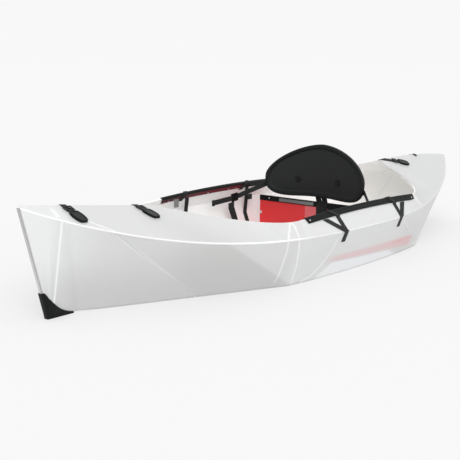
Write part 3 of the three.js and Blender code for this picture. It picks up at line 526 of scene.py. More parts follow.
# The colours below paint light and shade: shade low down and to the rear, light on the lighter panels,
# shade on the bow panel, light on the keel panel and a contact shadow at the foot.
SHADED, SHADED_TOP, SHADED_LOW = (0.38, 0.385, 0.39, 1), 0.26, 0.20
SHADED_REAR, REAR_START = 0.33, (0.5, 0.8)
PAINTED_LIGHT_PANEL, PAINTED_LIGHT_SHARE = (0.69, 0.695, 0.705, 1), 0.5
BOW_PANEL_SHADE, BOW_SHADE_SHARE = (0.43, 0.432, 0.428, 1), 0.6
KEEL_PANEL_LIGHT, KEEL_LIGHT_SHARE = (0.82, 0.84, 0.87, 1), 0.42
FOOT_SHADOW, FOOT_SHADOW_HEIGHTS, FOOT_SHADOW_SHARE = (0.27, 0.262, 0.25, 1), (0.001, 0.009), 0.38


def outer_colour(w, place, cloud):
    """The sheet seen from outside: a clouded white with painted shade low down and to the rear, painted
    light and shade on single panels, and a painted contact shadow at the foot.
    """
    # Painted shade, darker towards the bottom and towards the stern.
    low = w.smooth(place[2], 0.0, SHADED_TOP, SHADED_LOW, 0.0)
    rear = w.smooth(place[0], *REAR_START, 0.0, SHADED_REAR)
    # A painted contact shadow along the foot of the sheet.
    foot = w.smooth(place[2], *FOOT_SHADOW_HEIGHTS, FOOT_SHADOW_SHARE, 0.0)
    colour = w.mix(w.math("ADD", 0.5, cloud.outputs["Value"]), SHEET_DARK, SHEET_LIGHT)
    colour = w.mix(w.math("MAXIMUM", low, rear), colour, SHADED)
    colour = w.mix(w.times(painted_light_panels(w, place), PAINTED_LIGHT_SHARE), colour, PAINTED_LIGHT_PANEL)
    colour = w.mix(w.times(bow_panel_shade(w, place), BOW_SHADE_SHARE), colour, BOW_PANEL_SHADE)
    colour = w.mix(w.times(keel_panel(w, place), KEEL_LIGHT_SHARE), colour, KEEL_PANEL_LIGHT)
    return w.mix(foot, colour, FOOT_SHADOW)


print("outer face:", SHEET_DARK[:3], "to", SHEET_LIGHT[:3])

# %% [markdown]
# ### The inner face
# Inside, the same sheet looks warmer and brighter, because daylight comes through it from behind.
# True translucency would need a hollow wall and many light bounces. A brighter, warmer colour and a
# weak emission on the faces that look into the boat paint that light in. Those faces are found by
# their normal, which points towards the middle. Towards the stern the inside darkens to beige, which
# is painted shade, and beside the bulkhead a painted pink stands for the bulkhead's red light on the
# white.

# %% Inner face
# The inner colours are painted light for the daylight through the sheet, with painted shade towards the
# stern and a painted pink for the bulkhead's red light; the glows paint the same light in as emission.
INNER, INNER_REAR_SHADE, REAR_TONE = (0.78, 0.777, 0.770, 1), (0.73, 0.728, 0.710, 1), (0.60, 0.90)
PINK_LIGHT, PINK_LIGHT_SHARE, PINK_START, PINK_END = (0.68, 0.58, 0.58, 1), 0.8, (-0.10, 0.22), (0.24, 0.36)
GLOW, GLOW_PINK, NO_GLOW = (0.155, 0.155, 0.153, 1), (0.085, 0.074, 0.074, 1), (0, 0, 0, 1)
FACING_IN, FACING_UP, FLOOR_TOP = (-0.12, -0.02), (0.5, 0.7), 0.05


def inner_mask(w, place, normal):
    """One on faces that look into the boat."""
    outward = w.times(normal[1], w.math("SIGN", place[1]))
    walls = w.smooth(outward, *FACING_IN, 1.0, 0.0)
    floor = w.times(w.smooth(normal[2], *FACING_UP), w.math("LESS_THAN", place[2], FLOOR_TOP))
    return w.math("MAXIMUM", walls, floor, clamp=True)


def beside_bulkhead(w, place):
    """One on the stretch of sheet where painted pink stands for the red bulkhead's light."""
    return w.window(place[0], PINK_START, PINK_END)


def inner_colour(w, place):
    """The sheet seen from inside the boat, with painted light, painted shade towards the stern and
    painted red light beside the bulkhead.
    """
    colour = w.mix(w.smooth(place[0], *REAR_TONE), INNER, INNER_REAR_SHADE)
    return w.mix(w.times(beside_bulkhead(w, place), PINK_LIGHT_SHARE), colour, PINK_LIGHT)


print("inner face:", INNER[:3], "and", PINK_LIGHT[:3], "beside the bulkhead")

# %% [markdown]
# ### The folds
# A fold in real sheet is crushed and turns whiter. Narrow strips of geometry would be fussy to fit
# on a curved panel, and a mask along a path falls on it by itself. Each row of the table is one
# fold: its points on starboard, its half width, the share of that width which is fully white, how
# white each stretch is, and the length over which its last stretch fades out.

# %% Paths of the folds
FOLDS = {
    "stem": (
        [(-1.2746, 0.0765, 0.311), (-1.2605, 0.013, 0.035)],
        0.0065, 0.0, (0.45,), SHORT_FADE,
    ),
    "stem streak on the deck": (
        [(-1.2750, 0.0600, 0.320), (-1.2620, 0.005, 0.346)],
        0.0160, 0.0, (0.35,), 0.030,
    ),
    "bow deck": (
        [(-1.1866, 0.0901, 0.302), (-1.1330, 0.155, 0.2712)],
        0.0045, 0.2, (0.70,), SHORT_FADE,
    ),
    "bow side": (
        [(-1.1330, 0.155, 0.2600), (-0.7800, 0.170, 0.004)],
        0.0090, 0.0, (0.35,), 0.300,
    ),
    "fork, front branch": (
        [
            (-0.4871, 0.3372, 0.2366), (-0.5052, 0.3484, 0.2115), (-0.5381, 0.3680, 0.1830),
            (-0.5261, 0.3572, 0.1497), (-0.5139, 0.3118, 0.0482), (-0.5122, 0.2874, 0.0050),
        ],
        0.0060, 0.1, (0.40, 0.40, 0.40, 0.40, 0.32), 0.010,
    ),
    "fork, rear branch": (
        [
            (-0.4820, 0.3390, 0.2369), (-0.4741, 0.3496, 0.2232), (-0.4763, 0.3622, 0.2024),
            (-0.4841, 0.3764, 0.1774), (-0.4656, 0.3639, 0.1414), (-0.4450, 0.3390, 0.0740),
            (-0.4350, 0.3120, 0.0050),
        ],
        0.0060, 0.1, (0.40, 0.40, 0.40, 0.40, 0.40, 0.36), SHORT_FADE,
    ),
    "quarter": (
        [
            (-0.2546, 0.3881, 0.1515), (-0.2643, 0.3718, 0.1160), (-0.2819, 0.3526, 0.0744),
            (-0.3068, 0.3378, 0.0436), (-0.3353, 0.3252, 0.0187), (-0.3834, 0.3151, 0.0046),
        ],
        0.0065, 0.0, (0.30, 0.38, 0.42, 0.42, 0.38), SHORT_FADE,
    ),
    "rear seam": (
        [(0.2131, 0.397, 0.179), (0.5175, 0.297, 0.002)],
        0.0055, 0.1, (0.40,), SHORT_FADE,
    ),
    "corner of the stern deck": (
        [(0.3920, 0.356, 0.2346), (0.4684, 0.3537, 0.1787)],
        0.0160, 0.0, (0.34,), 0.010,
    ),
}


def line_mask(w, start, end, **values):
    """The mask of one straight line from start to end."""
    line = Vector(end) - Vector(start)
    along = {"Start": start, "Direction": line.normalized(), "Length": line.length}
    return use_group(w, fold_line, **along, **values).outputs["Mask"]


print(len(FOLDS), "folds in", sum(len(whites) for _, _, _, whites, _ in FOLDS.values()), "stretches")

# %% Mask of the folds
CREASE_WIDTH = 0.0038
CREASE_MIDDLE, MIDDLE_FADE = 0.28, (-0.55, -0.36)
CREASE_STERN, STERN_FADE = 0.4, (0.4, 0.7)


def long_crease_mask(w):
    """The gunwale crease, which is crushed hardest at the bow."""
    x = w.place()[0]
    mask = use_group(w, long_crease, Width=CREASE_WIDTH).outputs["Mask"]
    middle = w.smooth(x, *MIDDLE_FADE, 1.0, CREASE_MIDDLE)
    return w.times(mask, middle, w.smooth(x, *STERN_FADE, 1.0, CREASE_STERN))


def fold_mask(w):
    """One on every fold of the sheet."""
    mask = long_crease_mask(w)
    for points, width, core, whites, last_fade in FOLDS.values():
        for count, white in enumerate(whites, 1):
            fade = last_fade if count == len(whites) else SHORT_FADE
            start, end = points[count - 1], points[count]
            stretch = line_mask(w, start, end, Width=width, Core=core, Strength=white, Fade=fade)
            mask = w.math("MAXIMUM", mask, stretch)
    return mask


print("the gunwale crease is", 2 * CREASE_WIDTH, "m wide")

# %% [markdown]
# ### Thin lines
# Three dark lines belong to the sheet's edges. The rear seam has a painted brown shadow beside its
# white fold, the two sides of the bow meet along the stem in a slit painted dark as shade, and the
# raw edge of the stern deck is greyer than its face. The first two are straight, so they use the
# fold's group.

# %% Thin lines of the sheet
SEAM_SHADE = ((0.2660, 0.374, 0.1430), (0.4950, 0.306, 0.0180))
# Painted shadow beside the seam, and painted shade in the stem's slit.
SEAM_SHADOW_COLOUR, SEAM_SHADOW_SHARE = (0.36, 0.33, 0.27, 1), 0.6
STEM_SLIT = ((-1.375, 0.003, 0.353), (-1.278, 0.003, 0.003))
SLIT_SHADE, SLIT_SHADE_SHARE = (0.22, 0.22, 0.22, 1), 0.75
LIP_COLOUR, LIP_SHARE = (0.36, 0.355, 0.345, 1), 0.6
LIP_FACING, LIP_FRONT = (-0.75, -0.50), 0.34


def deck_lip(w, place, normal):
    """One on the stern deck's raw edge, which faces the bow."""
    facing_bow = w.smooth(normal[0], *LIP_FACING, 1.0, 0.0)
    return w.times(facing_bow, w.math("GREATER_THAN", place[0], LIP_FRONT))


def add_thin_lines(w, colour, lip):
    """Paints the seam's shadow, the grey lip and the shade of the stem's slit over a colour."""
    seam = line_mask(w, *SEAM_SHADE, Width=0.0030, Core=0.3, Fade=0.02)
    slit = line_mask(w, *STEM_SLIT, Width=0.0075, Core=0.5)
    colour = w.mix(w.times(seam, SEAM_SHADOW_SHARE), colour, SEAM_SHADOW_COLOUR)
    colour = w.mix(w.times(lip, LIP_SHARE), colour, LIP_COLOUR)
    return w.mix(w.times(slit, SLIT_SHADE_SHARE), colour, SLIT_SHADE)


print("stem slit from", STEM_SLIT[0], "to", STEM_SLIT[1])

# %% [markdown]
# ### The red print
# A pale red band is printed low on the middle of each side and fades at its ends. A decal would
# need its own geometry, and a mask of height and length is enough. Stretched noise breaks the band
# into streaks, as thin ink does on ribbed sheet.

# %% The faded red print
PRINT_RED = (0.66, 0.17, 0.18, 1)
PRINT_HEIGHT, PRINT_SLOPE, PRINT_DIP = 0.066, -0.02, 0.07
PRINT_HALF_FRONT, PRINT_HALF_REAR, PRINT_WIDENS, PRINT_CORE = 0.018, 0.031, (-0.30, 0.40), 0.35
PRINT_START, PRINT_END = (-0.32, -0.16), (0.41, 0.45)
PRINT_THIN, PRINT_THICK, INK_EDGES = 0.18, 0.32, (0.3, 0.65)
PRINT_DEEPER, PRINT_DEEPENS = 1.55, (0.0, 0.36)
STREAK_STRETCH, STREAK_DETAIL = (2.5, 1.0, 90.0), 2.0


def print_mask(w, place, inside):
    """How much red ink lies on a point of the outer face."""
    x, z = place[0], place[2]
    dip = w.times(w.math("MAXIMUM", x, 0.0), w.times(x, PRINT_DIP))
    middle = w.math("SUBTRACT", w.math("MULTIPLY_ADD", x, PRINT_SLOPE, PRINT_HEIGHT), dip)
    gap = w.math("ABSOLUTE", w.math("SUBTRACT", z, middle))
    half = w.smooth(x, *PRINT_WIDENS, PRINT_HALF_FRONT, PRINT_HALF_REAR)
    band = w.smooth(w.math("DIVIDE", gap, half), PRINT_CORE, 1.0, 1.0, 0.0)
    stretched = w.vector("MULTIPLY", w.add("ShaderNodeTexCoord").outputs["Object"], STREAK_STRETCH)
    ink = w.smooth(w.noise(stretched, 1.0, STREAK_DETAIL), *INK_EDGES, PRINT_THIN, PRINT_THICK)
    deeper = w.smooth(x, *PRINT_DEEPENS, 1.0, PRINT_DEEPER)
    outside = w.math("SUBTRACT", 1.0, inside)
    return w.times(band, ink, outside, deeper, w.window(x, PRINT_START, PRINT_END))


print("print", PRINT_HEIGHT, "m up amidships")

# %% [markdown]
# ### The sheet's material
# The steps now come together in one shader. A little subsurface light softens the plastic, a thin
# coat gives its sheen, and the ribs of the twin wall and a fine pebble run through the bump. A
# fold stands up slightly and is a touch smoother than the rest.

# %% Material: hull sheet
FOLD_WHITE, FOLD_SHARE = (0.93, 0.935, 0.935, 1), 0.9
BAND_ON_SHEET = (0.22, 0.028, 0.040, 1)
SHEET_ROUGHNESS, FOLD_SMOOTHER = 0.40, -0.08
SHEET_GRAIN, SHEET_SPREAD, SHEET_BUMP, SHEET_RELIEF = 700.0, 0.10, 0.30, 0.0008
RIB_PITCH, RIB_DEPTH, PEBBLE_DEPTH, FOLD_HEIGHT = 0.0050, 0.25, 0.10, 1.2


def sheet_height(w, cloud, folds):
    """Ribs, pebble grain and raised folds, added up for the bump."""
    ribs = use_group(w, flutes, Pitch=RIB_PITCH).outputs["Height"]
    height = w.math("MULTIPLY_ADD", ribs, RIB_DEPTH, w.times(cloud.outputs["Height"], PEBBLE_DEPTH))
    return w.math("ADD", height, w.times(folds, FOLD_HEIGHT))


def build_hull_material():
    material, w, shader = new_material(
        "hull_sheet_white", Roughness=SHEET_ROUGHNESS, IOR=1.49, Coat_Weight=0.08, Coat_Roughness=0.3,
        Subsurface_Weight=0.35, Subsurface_Radius=(1.0, 0.97, 0.92), Subsurface_Scale=0.010,
        Emission_Strength=1.0,
    )
    place, normal = w.place(), w.normal()
    folds, inside, lip = fold_mask(w), inner_mask(w, place, normal), deck_lip(w, place, normal)
    cloud = use_group(w, grain, Scale=SHEET_GRAIN, Spread=SHEET_SPREAD)
    band = use_group(w, rim_band, Inside=inside).outputs["Mask"]

    colour = w.mix(inside, outer_colour(w, place, cloud), inner_colour(w, place))
    colour = w.mix(w.times(folds, FOLD_SHARE), colour, FOLD_WHITE)
    colour = add_thin_lines(w, colour, lip)
    colour = w.mix(print_mask(w, place, inside), colour, PRINT_RED)
    w.link(w.mix(band, colour, BAND_ON_SHEET), shader.inputs["Base Color"])

    lit = w.times(w.math("SUBTRACT", inside, lip, clamp=True), w.math("SUBTRACT", 1.0, band))
    glow = w.mix(beside_bulkhead(w, place), GLOW, GLOW_PINK)
    w.link(w.mix(lit, NO_GLOW, glow), shader.inputs["Emission Color"])

    bump(w, shader, sheet_height(w, cloud, folds), SHEET_BUMP, SHEET_RELIEF)
    clouded = w.math("ADD", SHEET_ROUGHNESS, cloud.outputs["Value"])
    w.link(w.math("MULTIPLY_ADD", folds, FOLD_SMOOTHER, clouded), shader.inputs["Roughness"])
    return material


hull_sheet = build_hull_material()
print("material:", hull_sheet.name, "with", len(FOLDS), "folds")

# %% [markdown]
# ## The red bulkhead
# The bulkhead is the same ribbed sheet in red, with a paler stripe of painted light beside its
# middle and a weak red glow that paints in the light coming through the sheet. It could share the
# white sheet's material, but it has no folds or prints, so a short material of its own is easier to read.

# %% Material: red bulkhead
RED_DARK, RED_LIGHT = (0.57, 0.022, 0.026, 1), (0.67, 0.034, 0.038, 1)
# The red glow is painted light, for the light that comes through the red sheet.
RED_GLOW = (0.05, 0.002, 0.002, 1)
STRIPE_NEAR, STRIPE_FAR = (0.028, 0.030), (0.088, 0.092)
STRIPE_LIGHT, STRIPE_LIGHT_SHARE = (0.60, 0.26, 0.28, 1), 0.42
RED_GRAIN, RED_SPREAD, RED_BUMP, RED_RELIEF = 500.0, 0.25, 0.12, 0.0005


def build_red_sheet():
    material, w, shader = new_material(
        "bulkhead_red", Roughness=0.42, Specular_IOR_Level=0.35, Subsurface_Weight=0.05,
        Emission_Color=RED_GLOW, Emission_Strength=1.0,
    )
    y = w.place()[1]
    cloud = use_group(w, grain, Scale=RED_GRAIN, Spread=RED_SPREAD)
    colour = w.mix(w.math("ADD", 0.5, cloud.outputs["Value"]), RED_DARK, RED_LIGHT)
    # A paler stripe of painted light beside the middle.
    stripe = w.window(y, STRIPE_NEAR, STRIPE_FAR)
    w.link(w.mix(w.times(stripe, STRIPE_LIGHT_SHARE), colour, STRIPE_LIGHT), shader.inputs["Base Color"])
    ribs = w.math("SINE", w.times(y, 2 * math.pi / RIB_PITCH))
    bump(w, shader, w.math("ADD", ribs, cloud.outputs["Height"]), RED_BUMP, RED_RELIEF)
    return material


red_sheet = build_red_sheet()
print("material:", red_sheet.name)

# %% [markdown]
# ## Moulded plastics
# Rails, caps, sockets and latches are moulded in black plastic, with a fine pebble grain and soft
# highlights. Flat black would hide their edges. So each finish is a mix of two near-blacks, and
# its roughness wanders with the same noise. The floorboard is a rougher, greyer sheet.

# %% Materials: moulded plastics
PLASTIC_SPREAD, PLASTIC_WANDER, PLASTIC_BUMP = 0.5, 0.4, 0.3


def build_plastic(name, dark, light, roughness, scale=900.0, depth=0.00025):
    """A grained plastic between two colours."""
    material, w, shader = new_material(name, Roughness=roughness, Specular_IOR_Level=0.11)
    cloud = use_group(w, grain, Scale=scale, Spread=PLASTIC_SPREAD)
    w.link(w.mix(w.math("ADD", 0.5, cloud.outputs["Value"]), dark, light), shader.inputs["Base Color"])
    wandering = w.math("MULTIPLY_ADD", cloud.outputs["Value"], PLASTIC_WANDER, roughness)
    w.link(wandering, shader.inputs["Roughness"])
    bump(w, shader, cloud.outputs["Height"], PLASTIC_BUMP, depth)
    return material


black_plastic = build_plastic("moulded_black", (0.004, 0.005, 0.005, 1), (0.009, 0.0105, 0.0105, 1), 0.36)
latch_plastic = build_plastic("latch_black", (0.006, 0.007, 0.007, 1), (0.013, 0.015, 0.015, 1), 0.32)
# This grey is the side tabs' own colour, and on the trim's strip it is a painted sheen.
sheen_and_tab_grey = build_plastic("sheen_and_tab_grey", (0.16, 0.16, 0.16, 1), (0.26, 0.26, 0.255, 1), 0.34)
floor_sheet = build_plastic(
    "floor_black", (0.020, 0.021, 0.022, 1), (0.040, 0.042, 0.043, 1), 0.55, scale=220.0, depth=0.0006,
)
print("materials:", black_plastic.name, latch_plastic.name, sheen_and_tab_grey.name, floor_sheet.name)

# %% [markdown]
# ### The rails' plastic
# A rail is the same plastic, but the red band under the rim runs over its inner foot. The band's
# mask is let through only on faces that look inwards.

# %% Material: rails
RAIL_DARK, RAIL_LIGHT = (0.0045, 0.0060, 0.0058, 1), (0.0105, 0.0130, 0.0125, 1)
BAND_ON_RAIL, RAIL_FACING_IN = (0.17, 0.020, 0.030, 1), (-0.5, -0.3)
RAIL_ROUGHNESS, RAIL_GRAIN, RAIL_RELIEF = 0.36, 600.0, 0.0003


def build_rail_plastic():
    material, w, shader = new_material("rail_black", Roughness=RAIL_ROUGHNESS, Specular_IOR_Level=0.07)
    cloud = use_group(w, grain, Scale=RAIL_GRAIN, Spread=PLASTIC_SPREAD)
    outward = w.times(w.normal()[1], w.math("SIGN", w.place()[1]))
    band = use_group(w, rim_band, Inside=w.smooth(outward, *RAIL_FACING_IN, 1.0, 0.0))
    colour = w.mix(w.math("ADD", 0.5, cloud.outputs["Value"]), RAIL_DARK, RAIL_LIGHT)
    w.link(w.mix(band.outputs["Mask"], colour, BAND_ON_RAIL), shader.inputs["Base Color"])
    wandering = w.math("MULTIPLY_ADD", cloud.outputs["Value"], PLASTIC_WANDER, RAIL_ROUGHNESS)
    w.link(wandering, shader.inputs["Roughness"])
    bump(w, shader, cloud.outputs["Height"], PLASTIC_BUMP, RAIL_RELIEF)
    return material


rail_plastic = build_rail_plastic()
print("material:", rail_plastic.name)

# %% [markdown]
# ## Webbing
# The straps are woven polyester: dull, with a herringbone that is finer than a pixel from afar
# and plain to see close up. Real threads would cost millions of faces, and a woven bump with
# lighter threads reads the same.

# %% Material: webbing
WEB_DARK, WEB_LIGHT = (0.008, 0.009, 0.009, 1), (0.026, 0.028, 0.028, 1)
WEAVE_PITCH, WEB_BUMP, WEB_RELIEF, WEB_GRAIN, WEB_SPREAD = 0.0018, 0.55, 0.0006, 260.0, 0.3


def build_webbing():
    material, w, shader = new_material(
        "webbing_black", Roughness=0.8, Specular_IOR_Level=0.15, Sheen_Weight=0.05,
    )
    threads = use_group(w, weave, Pitch=WEAVE_PITCH)
    cloud = use_group(w, grain, Scale=WEB_GRAIN, Spread=WEB_SPREAD)
    shade = w.math("ADD", threads.outputs["Thread"], cloud.outputs["Value"], clamp=True)
    w.link(w.mix(shade, WEB_DARK, WEB_LIGHT), shader.inputs["Base Color"])
    bump(w, shader, threads.outputs["Height"], WEB_BUMP, WEB_RELIEF)
    return material


webbing = build_webbing()
print("material:", webbing.name)

# %% [markdown]
# ## Foam and steel
# Both pads are closed-cell foam with a moulded skin: matt and finely pored, with painted shade
# where a button draws it in. The border of the backrest is darker and shinier.
# The rivets are plain polished steel.

# %% Materials: foam and steel
FOAM_DARK, FOAM_LIGHT = (0.0100, 0.0108, 0.0106, 1), (0.0165, 0.0175, 0.0172, 1)
BORDER_DARK, BORDER_LIGHT = (0.004, 0.005, 0.005, 1), (0.008, 0.009, 0.009, 1)
# The dimple's colour is painted shade.
DENT_SHADE, DENT_SHADE_SHARE, DENT_DEPTH = (0.003, 0.0035, 0.0035, 1), 0.7, -8.0
FOAM_PORES, FOAM_SPREAD, FOAM_WANDER, FOAM_BUMP, FOAM_RELIEF = 520.0, 0.6, 0.5, 0.45, 0.0006


def build_foam(name, dark, light, roughness):
    material, w, shader = new_material(name, Roughness=roughness, Specular_IOR_Level=0.14)
    pores = use_group(w, grain, Scale=FOAM_PORES, Spread=FOAM_SPREAD)
    dent = use_group(w, button_dent).outputs["Mask"]
    colour = w.mix(w.math("ADD", 0.5, pores.outputs["Value"]), dark, light)
    # Painted shade in the dimple round each button.
    w.link(w.mix(w.times(dent, DENT_SHADE_SHARE), colour, DENT_SHADE), shader.inputs["Base Color"])
    wandering = w.math("MULTIPLY_ADD", pores.outputs["Value"], FOAM_WANDER, roughness)
    w.link(wandering, shader.inputs["Roughness"])
    height = w.math("MULTIPLY_ADD", dent, DENT_DEPTH, pores.outputs["Height"])
    bump(w, shader, height, FOAM_BUMP, FOAM_RELIEF)
    return material


foam = build_foam("foam_skin", FOAM_DARK, FOAM_LIGHT, 0.62)
foam_border = build_foam("foam_border", BORDER_DARK, BORDER_LIGHT, 0.48)
steel, _, _ = new_material("rivet_steel", Base_Color=(0.62, 0.62, 0.61, 1), Roughness=0.28, Metallic=1.0)
print("materials:", foam.name, foam_border.name, steel.name)

# %% [markdown]
# ## Dress the frame's own pieces
# Rigid pieces of the frame keep their shape and only get a finish. A long table could list them
# all, but the name of each piece already says what it is made of.

# %% Assign the finishes
def finish_of(name):
    if name == "bulkhead":
        return red_sheet
    if name == "floorboard":
        return floor_sheet
    if name.startswith(("rail_starboard", "rail_port")):
        return rail_plastic
    if name.endswith("_latch"):
        return latch_plastic
    if name.endswith(("_side_starboard", "_side_port", "_deck_starboard", "_deck_port", "hull_bottom")):
        return hull_sheet
    if name.startswith("gunwale_strip"):
        return hull_sheet
    if name.startswith(("rail_loop", "inner_strap", "arm_strap", "arm_anchor", "support_strap")):
        return webbing
    if name.endswith("_strap"):
        return webbing
    return black_plastic


for name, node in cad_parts.items():
    for slot in node.material_slots:
        slot.material = finish_of(name)
print("finished", len(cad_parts), "pieces of the frame")

# %% [markdown]
# ## New pieces
# What the frame gives only roughly is built anew. Each new piece is shaped as a bmesh, gets its
# material and rides on one of the frame's bodies.

# %% A helper that makes a finished piece
def new_piece(name, mesh, material, body, smooth=True):
    """Turns a bmesh into an object that rides on a body."""
    bmesh.ops.recalc_face_normals(mesh, faces=mesh.faces)
    data = bpy.data.meshes.new(name)
    mesh.to_mesh(data)
    mesh.free()
    for polygon in data.polygons:
        polygon.use_smooth = smooth
    data.materials.append(material)
    piece = bpy.data.objects.new(name, data)
    bpy.context.scene.collection.objects.link(piece)
    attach(piece, body)
    return piece


def add_subdivision(piece, levels):
    rounder = piece.modifiers.new("rounder", "SUBSURF")
    rounder.levels = rounder.render_levels = levels


# %% [markdown]
# ## Smooth panels
# The frame's panels are loose flat triangles, so a curved fold would show its facets. Remodelled
# panels could drift from the frame. Each white panel is copied instead, its points are merged,
# and it is shaded smooth everywhere but at its edges. The copy has exactly the frame's shape and
# stands for that node.

# %% Copy the white panels
SHARP = math.radians(50)
FLAT_WEIGHT = 90
SAME_POINT = 2e-6


def smooth_copy(name):
    mesh = bmesh.new()
    mesh.from_mesh(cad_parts[name].data)
    bmesh.ops.remove_doubles(mesh, verts=mesh.verts, dist=SAME_POINT)
    for edge in mesh.edges:
        edge.smooth = edge.calc_face_angle(0) < SHARP
    piece = new_piece(name + "_skin", mesh, hull_sheet, "hull")
    weigher = piece.modifiers.new("weigher", "WEIGHTED_NORMAL")
    weigher.weight, weigher.keep_sharp = FLAT_WEIGHT, True
    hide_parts(name)
    return piece


panels = [smooth_copy(name) for name in sorted(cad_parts) if finish_of(name) is hull_sheet]
print("smooth panels:", len(panels))

# %% [markdown]
# ## The backrest
# The real backrest is moulded foam: a raised border runs round a shallow field, and the whole
# pad bends about the sitter. Its lower edge arches up between two lobes. A sculpted grid would
# step along that outline. Every cross-section is a ring on the same outline, so the pad grows by
# extruding a circle ring by ring. The rings are then mapped to the outline, and subdivision
# rounds the border.

# %% The backrest's outline and its bend
BACK_HALF_WIDTH, BACK_BOTTOM, BACK_TOP, BACK_MIDDLE = 0.246, 0.201, 0.440, 0.298
BACK_ARCH, BACK_ARCH_HALF, BACK_ARCH_POWER = 0.017, 0.209, 1.5
BACK_X, BACK_WRAP, BACK_LEAN, BACK_THICKNESS = 0.188, 0.052, 0.022, 0.020
UPPER_POWER, LOWER_POWER = 1.66, 3.3


def back_front(y, z):
    """X of the backrest's front face."""
    lean = BACK_LEAN * (z - BACK_BOTTOM) / (BACK_TOP - BACK_BOTTOM)
    return BACK_X - BACK_WRAP * (y / BACK_HALF_WIDTH) ** 2 + lean


def back_outline(angle, inset):
    """Y, and Z above the middle, on the outline at an angle, drawn in by an inset.

    Two half superellipses make it, and a shallow arch lifts the lower edge.
    """
    c, s = math.cos(angle), math.sin(angle)
    power = UPPER_POWER if s > 0 else LOWER_POWER
    tall = BACK_TOP - BACK_MIDDLE if s > 0 else BACK_MIDDLE - BACK_BOTTOM
    y = math.copysign(abs(c) ** (2 / power), c) * (BACK_HALF_WIDTH - inset)
    arch = BACK_ARCH * max(0.0, 1 - (y / BACK_ARCH_HALF) ** 2) ** BACK_ARCH_POWER
    return y, math.copysign(abs(s) ** (2 / power), s) * (tall - inset) + (arch if s < 0 else 0.0)


print("backrest", 2 * BACK_HALF_WIDTH, "wide,", round(BACK_TOP - BACK_BOTTOM, 3), "tall")

# %% [markdown]
# ### Rings of the pad
# Each row below is one ring, from the middle of the rear face round the edge to the middle of the
# front: how far it lies inside the outline, its depth behind the front face, and the share of the
# outline that it keeps. Two rings close together hold a crisp line under subdivision. The rings
# of the border get the shinier material.

# %% Rings of the pad
BACK_RINGS = [
    (0.0215, BACK_THICKNESS, 0.2), (0.0215, BACK_THICKNESS, 0.6), (0.0215, BACK_THICKNESS, 0.95),
    (0.0060, BACK_THICKNESS, 1.0), (0.0016, BACK_THICKNESS - 0.0012, 1.0),
    (0.0, BACK_THICKNESS - 0.0045, 1.0), (0.0, 0.0045, 1.0), (0.0016, 0.0012, 1.0),
    (0.0055, 0.0, 1.0), (0.0140, 0.0, 1.0),
    (0.0166, 0.0008, 1.0), (0.0186, 0.0042, 1.0), (0.0215, 0.0050, 1.0), (0.0215, 0.0040, 0.9),
    (0.0215, 0.0020, 0.68), (0.0215, 0.0004, 0.4), (0.0215, 0.0, 0.15),
]
BORDER_RINGS = range(3, 12)
print(len(BACK_RINGS), "rings,", len(BORDER_RINGS), "of them round the border")

# %% Build the backrest pad
SEGMENTS = 120


def place_on_back(vertex, angle, inset, depth, share):
    y, rise = back_outline(angle, inset)
    y, z = y * share, BACK_MIDDLE + rise * share
    vertex.co = (back_front(y, z) + depth, y, z)


def build_backrest():
    mesh = bmesh.new()
    first = bmesh.ops.create_circle(mesh, cap_ends=False, segments=SEGMENTS, radius=1.0)["verts"]
    rings, edges = [first], mesh.edges[:]
    for count in range(1, len(BACK_RINGS)):
        grown = bmesh.ops.extrude_edge_only(mesh, edges=edges)["geom"]
        for face in [f for f in grown if isinstance(f, bmesh.types.BMFace)]:
            face.material_index = 1 if count in BORDER_RINGS else 0
        rings.append([v for v in grown if isinstance(v, bmesh.types.BMVert)])
        edges = [e for e in grown if isinstance(e, bmesh.types.BMEdge) and e.is_boundary]
    caps = bmesh.ops.holes_fill(mesh, edges=[e for e in mesh.edges if e.is_boundary])["faces"]
    for ring, row in zip(rings, BACK_RINGS):
        for vertex in ring:
            place_on_back(vertex, math.atan2(vertex.co.y, vertex.co.x), *row)
    bmesh.ops.poke(mesh, faces=caps)
    piece = new_piece("backrest_foam", mesh, foam, "backrest")
    piece.data.materials.append(foam_border)
    add_subdivision(piece, 2)
    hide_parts("backrest_pad")
    return piece


backrest = build_backrest()
print("backrest:", len(backrest.data.vertices), "points before subdivision")

# %% [markdown]
# ## The seat pad
# The seat pad is a low cushion of moulded foam on the floorboard, mostly hidden behind the near
# side. Its foam keeps its shape without a cover, so no cloth is simulated. A grid is extruded to
# a slab, its corners are drawn in, its middle is crowned, and the edges are rounded.

# %% Build the seat pad
SEAT_FRONT, SEAT_REAR, SEAT_HALF_WIDTH = -0.205, 0.165, 0.190
SEAT_LOW, SEAT_TOP, SEAT_CROWN = 0.0118, 0.0356, 0.006
SEAT_PINCH, SEAT_EDGE_DROP, SEAT_ROUND = 0.16, 0.004, 0.006
SEAT_CELLS, SEAT_SHARP = 18, 1.0


def place_on_seat(vertex, is_top):
    """Moves a point of the unit slab to its place on the seat."""
    u, v = vertex.co.x, vertex.co.y
    pinch = math.sqrt(1 - SEAT_PINCH * (u * v) ** 2)
    edge = max(abs(u), abs(v))
    top = SEAT_TOP - SEAT_EDGE_DROP * edge ** 6 + SEAT_CROWN * (1 - edge ** 3)
    x = (SEAT_FRONT + SEAT_REAR) / 2 + u * pinch * (SEAT_REAR - SEAT_FRONT) / 2
    vertex.co = (x, v * pinch * SEAT_HALF_WIDTH, top if is_top else SEAT_LOW)


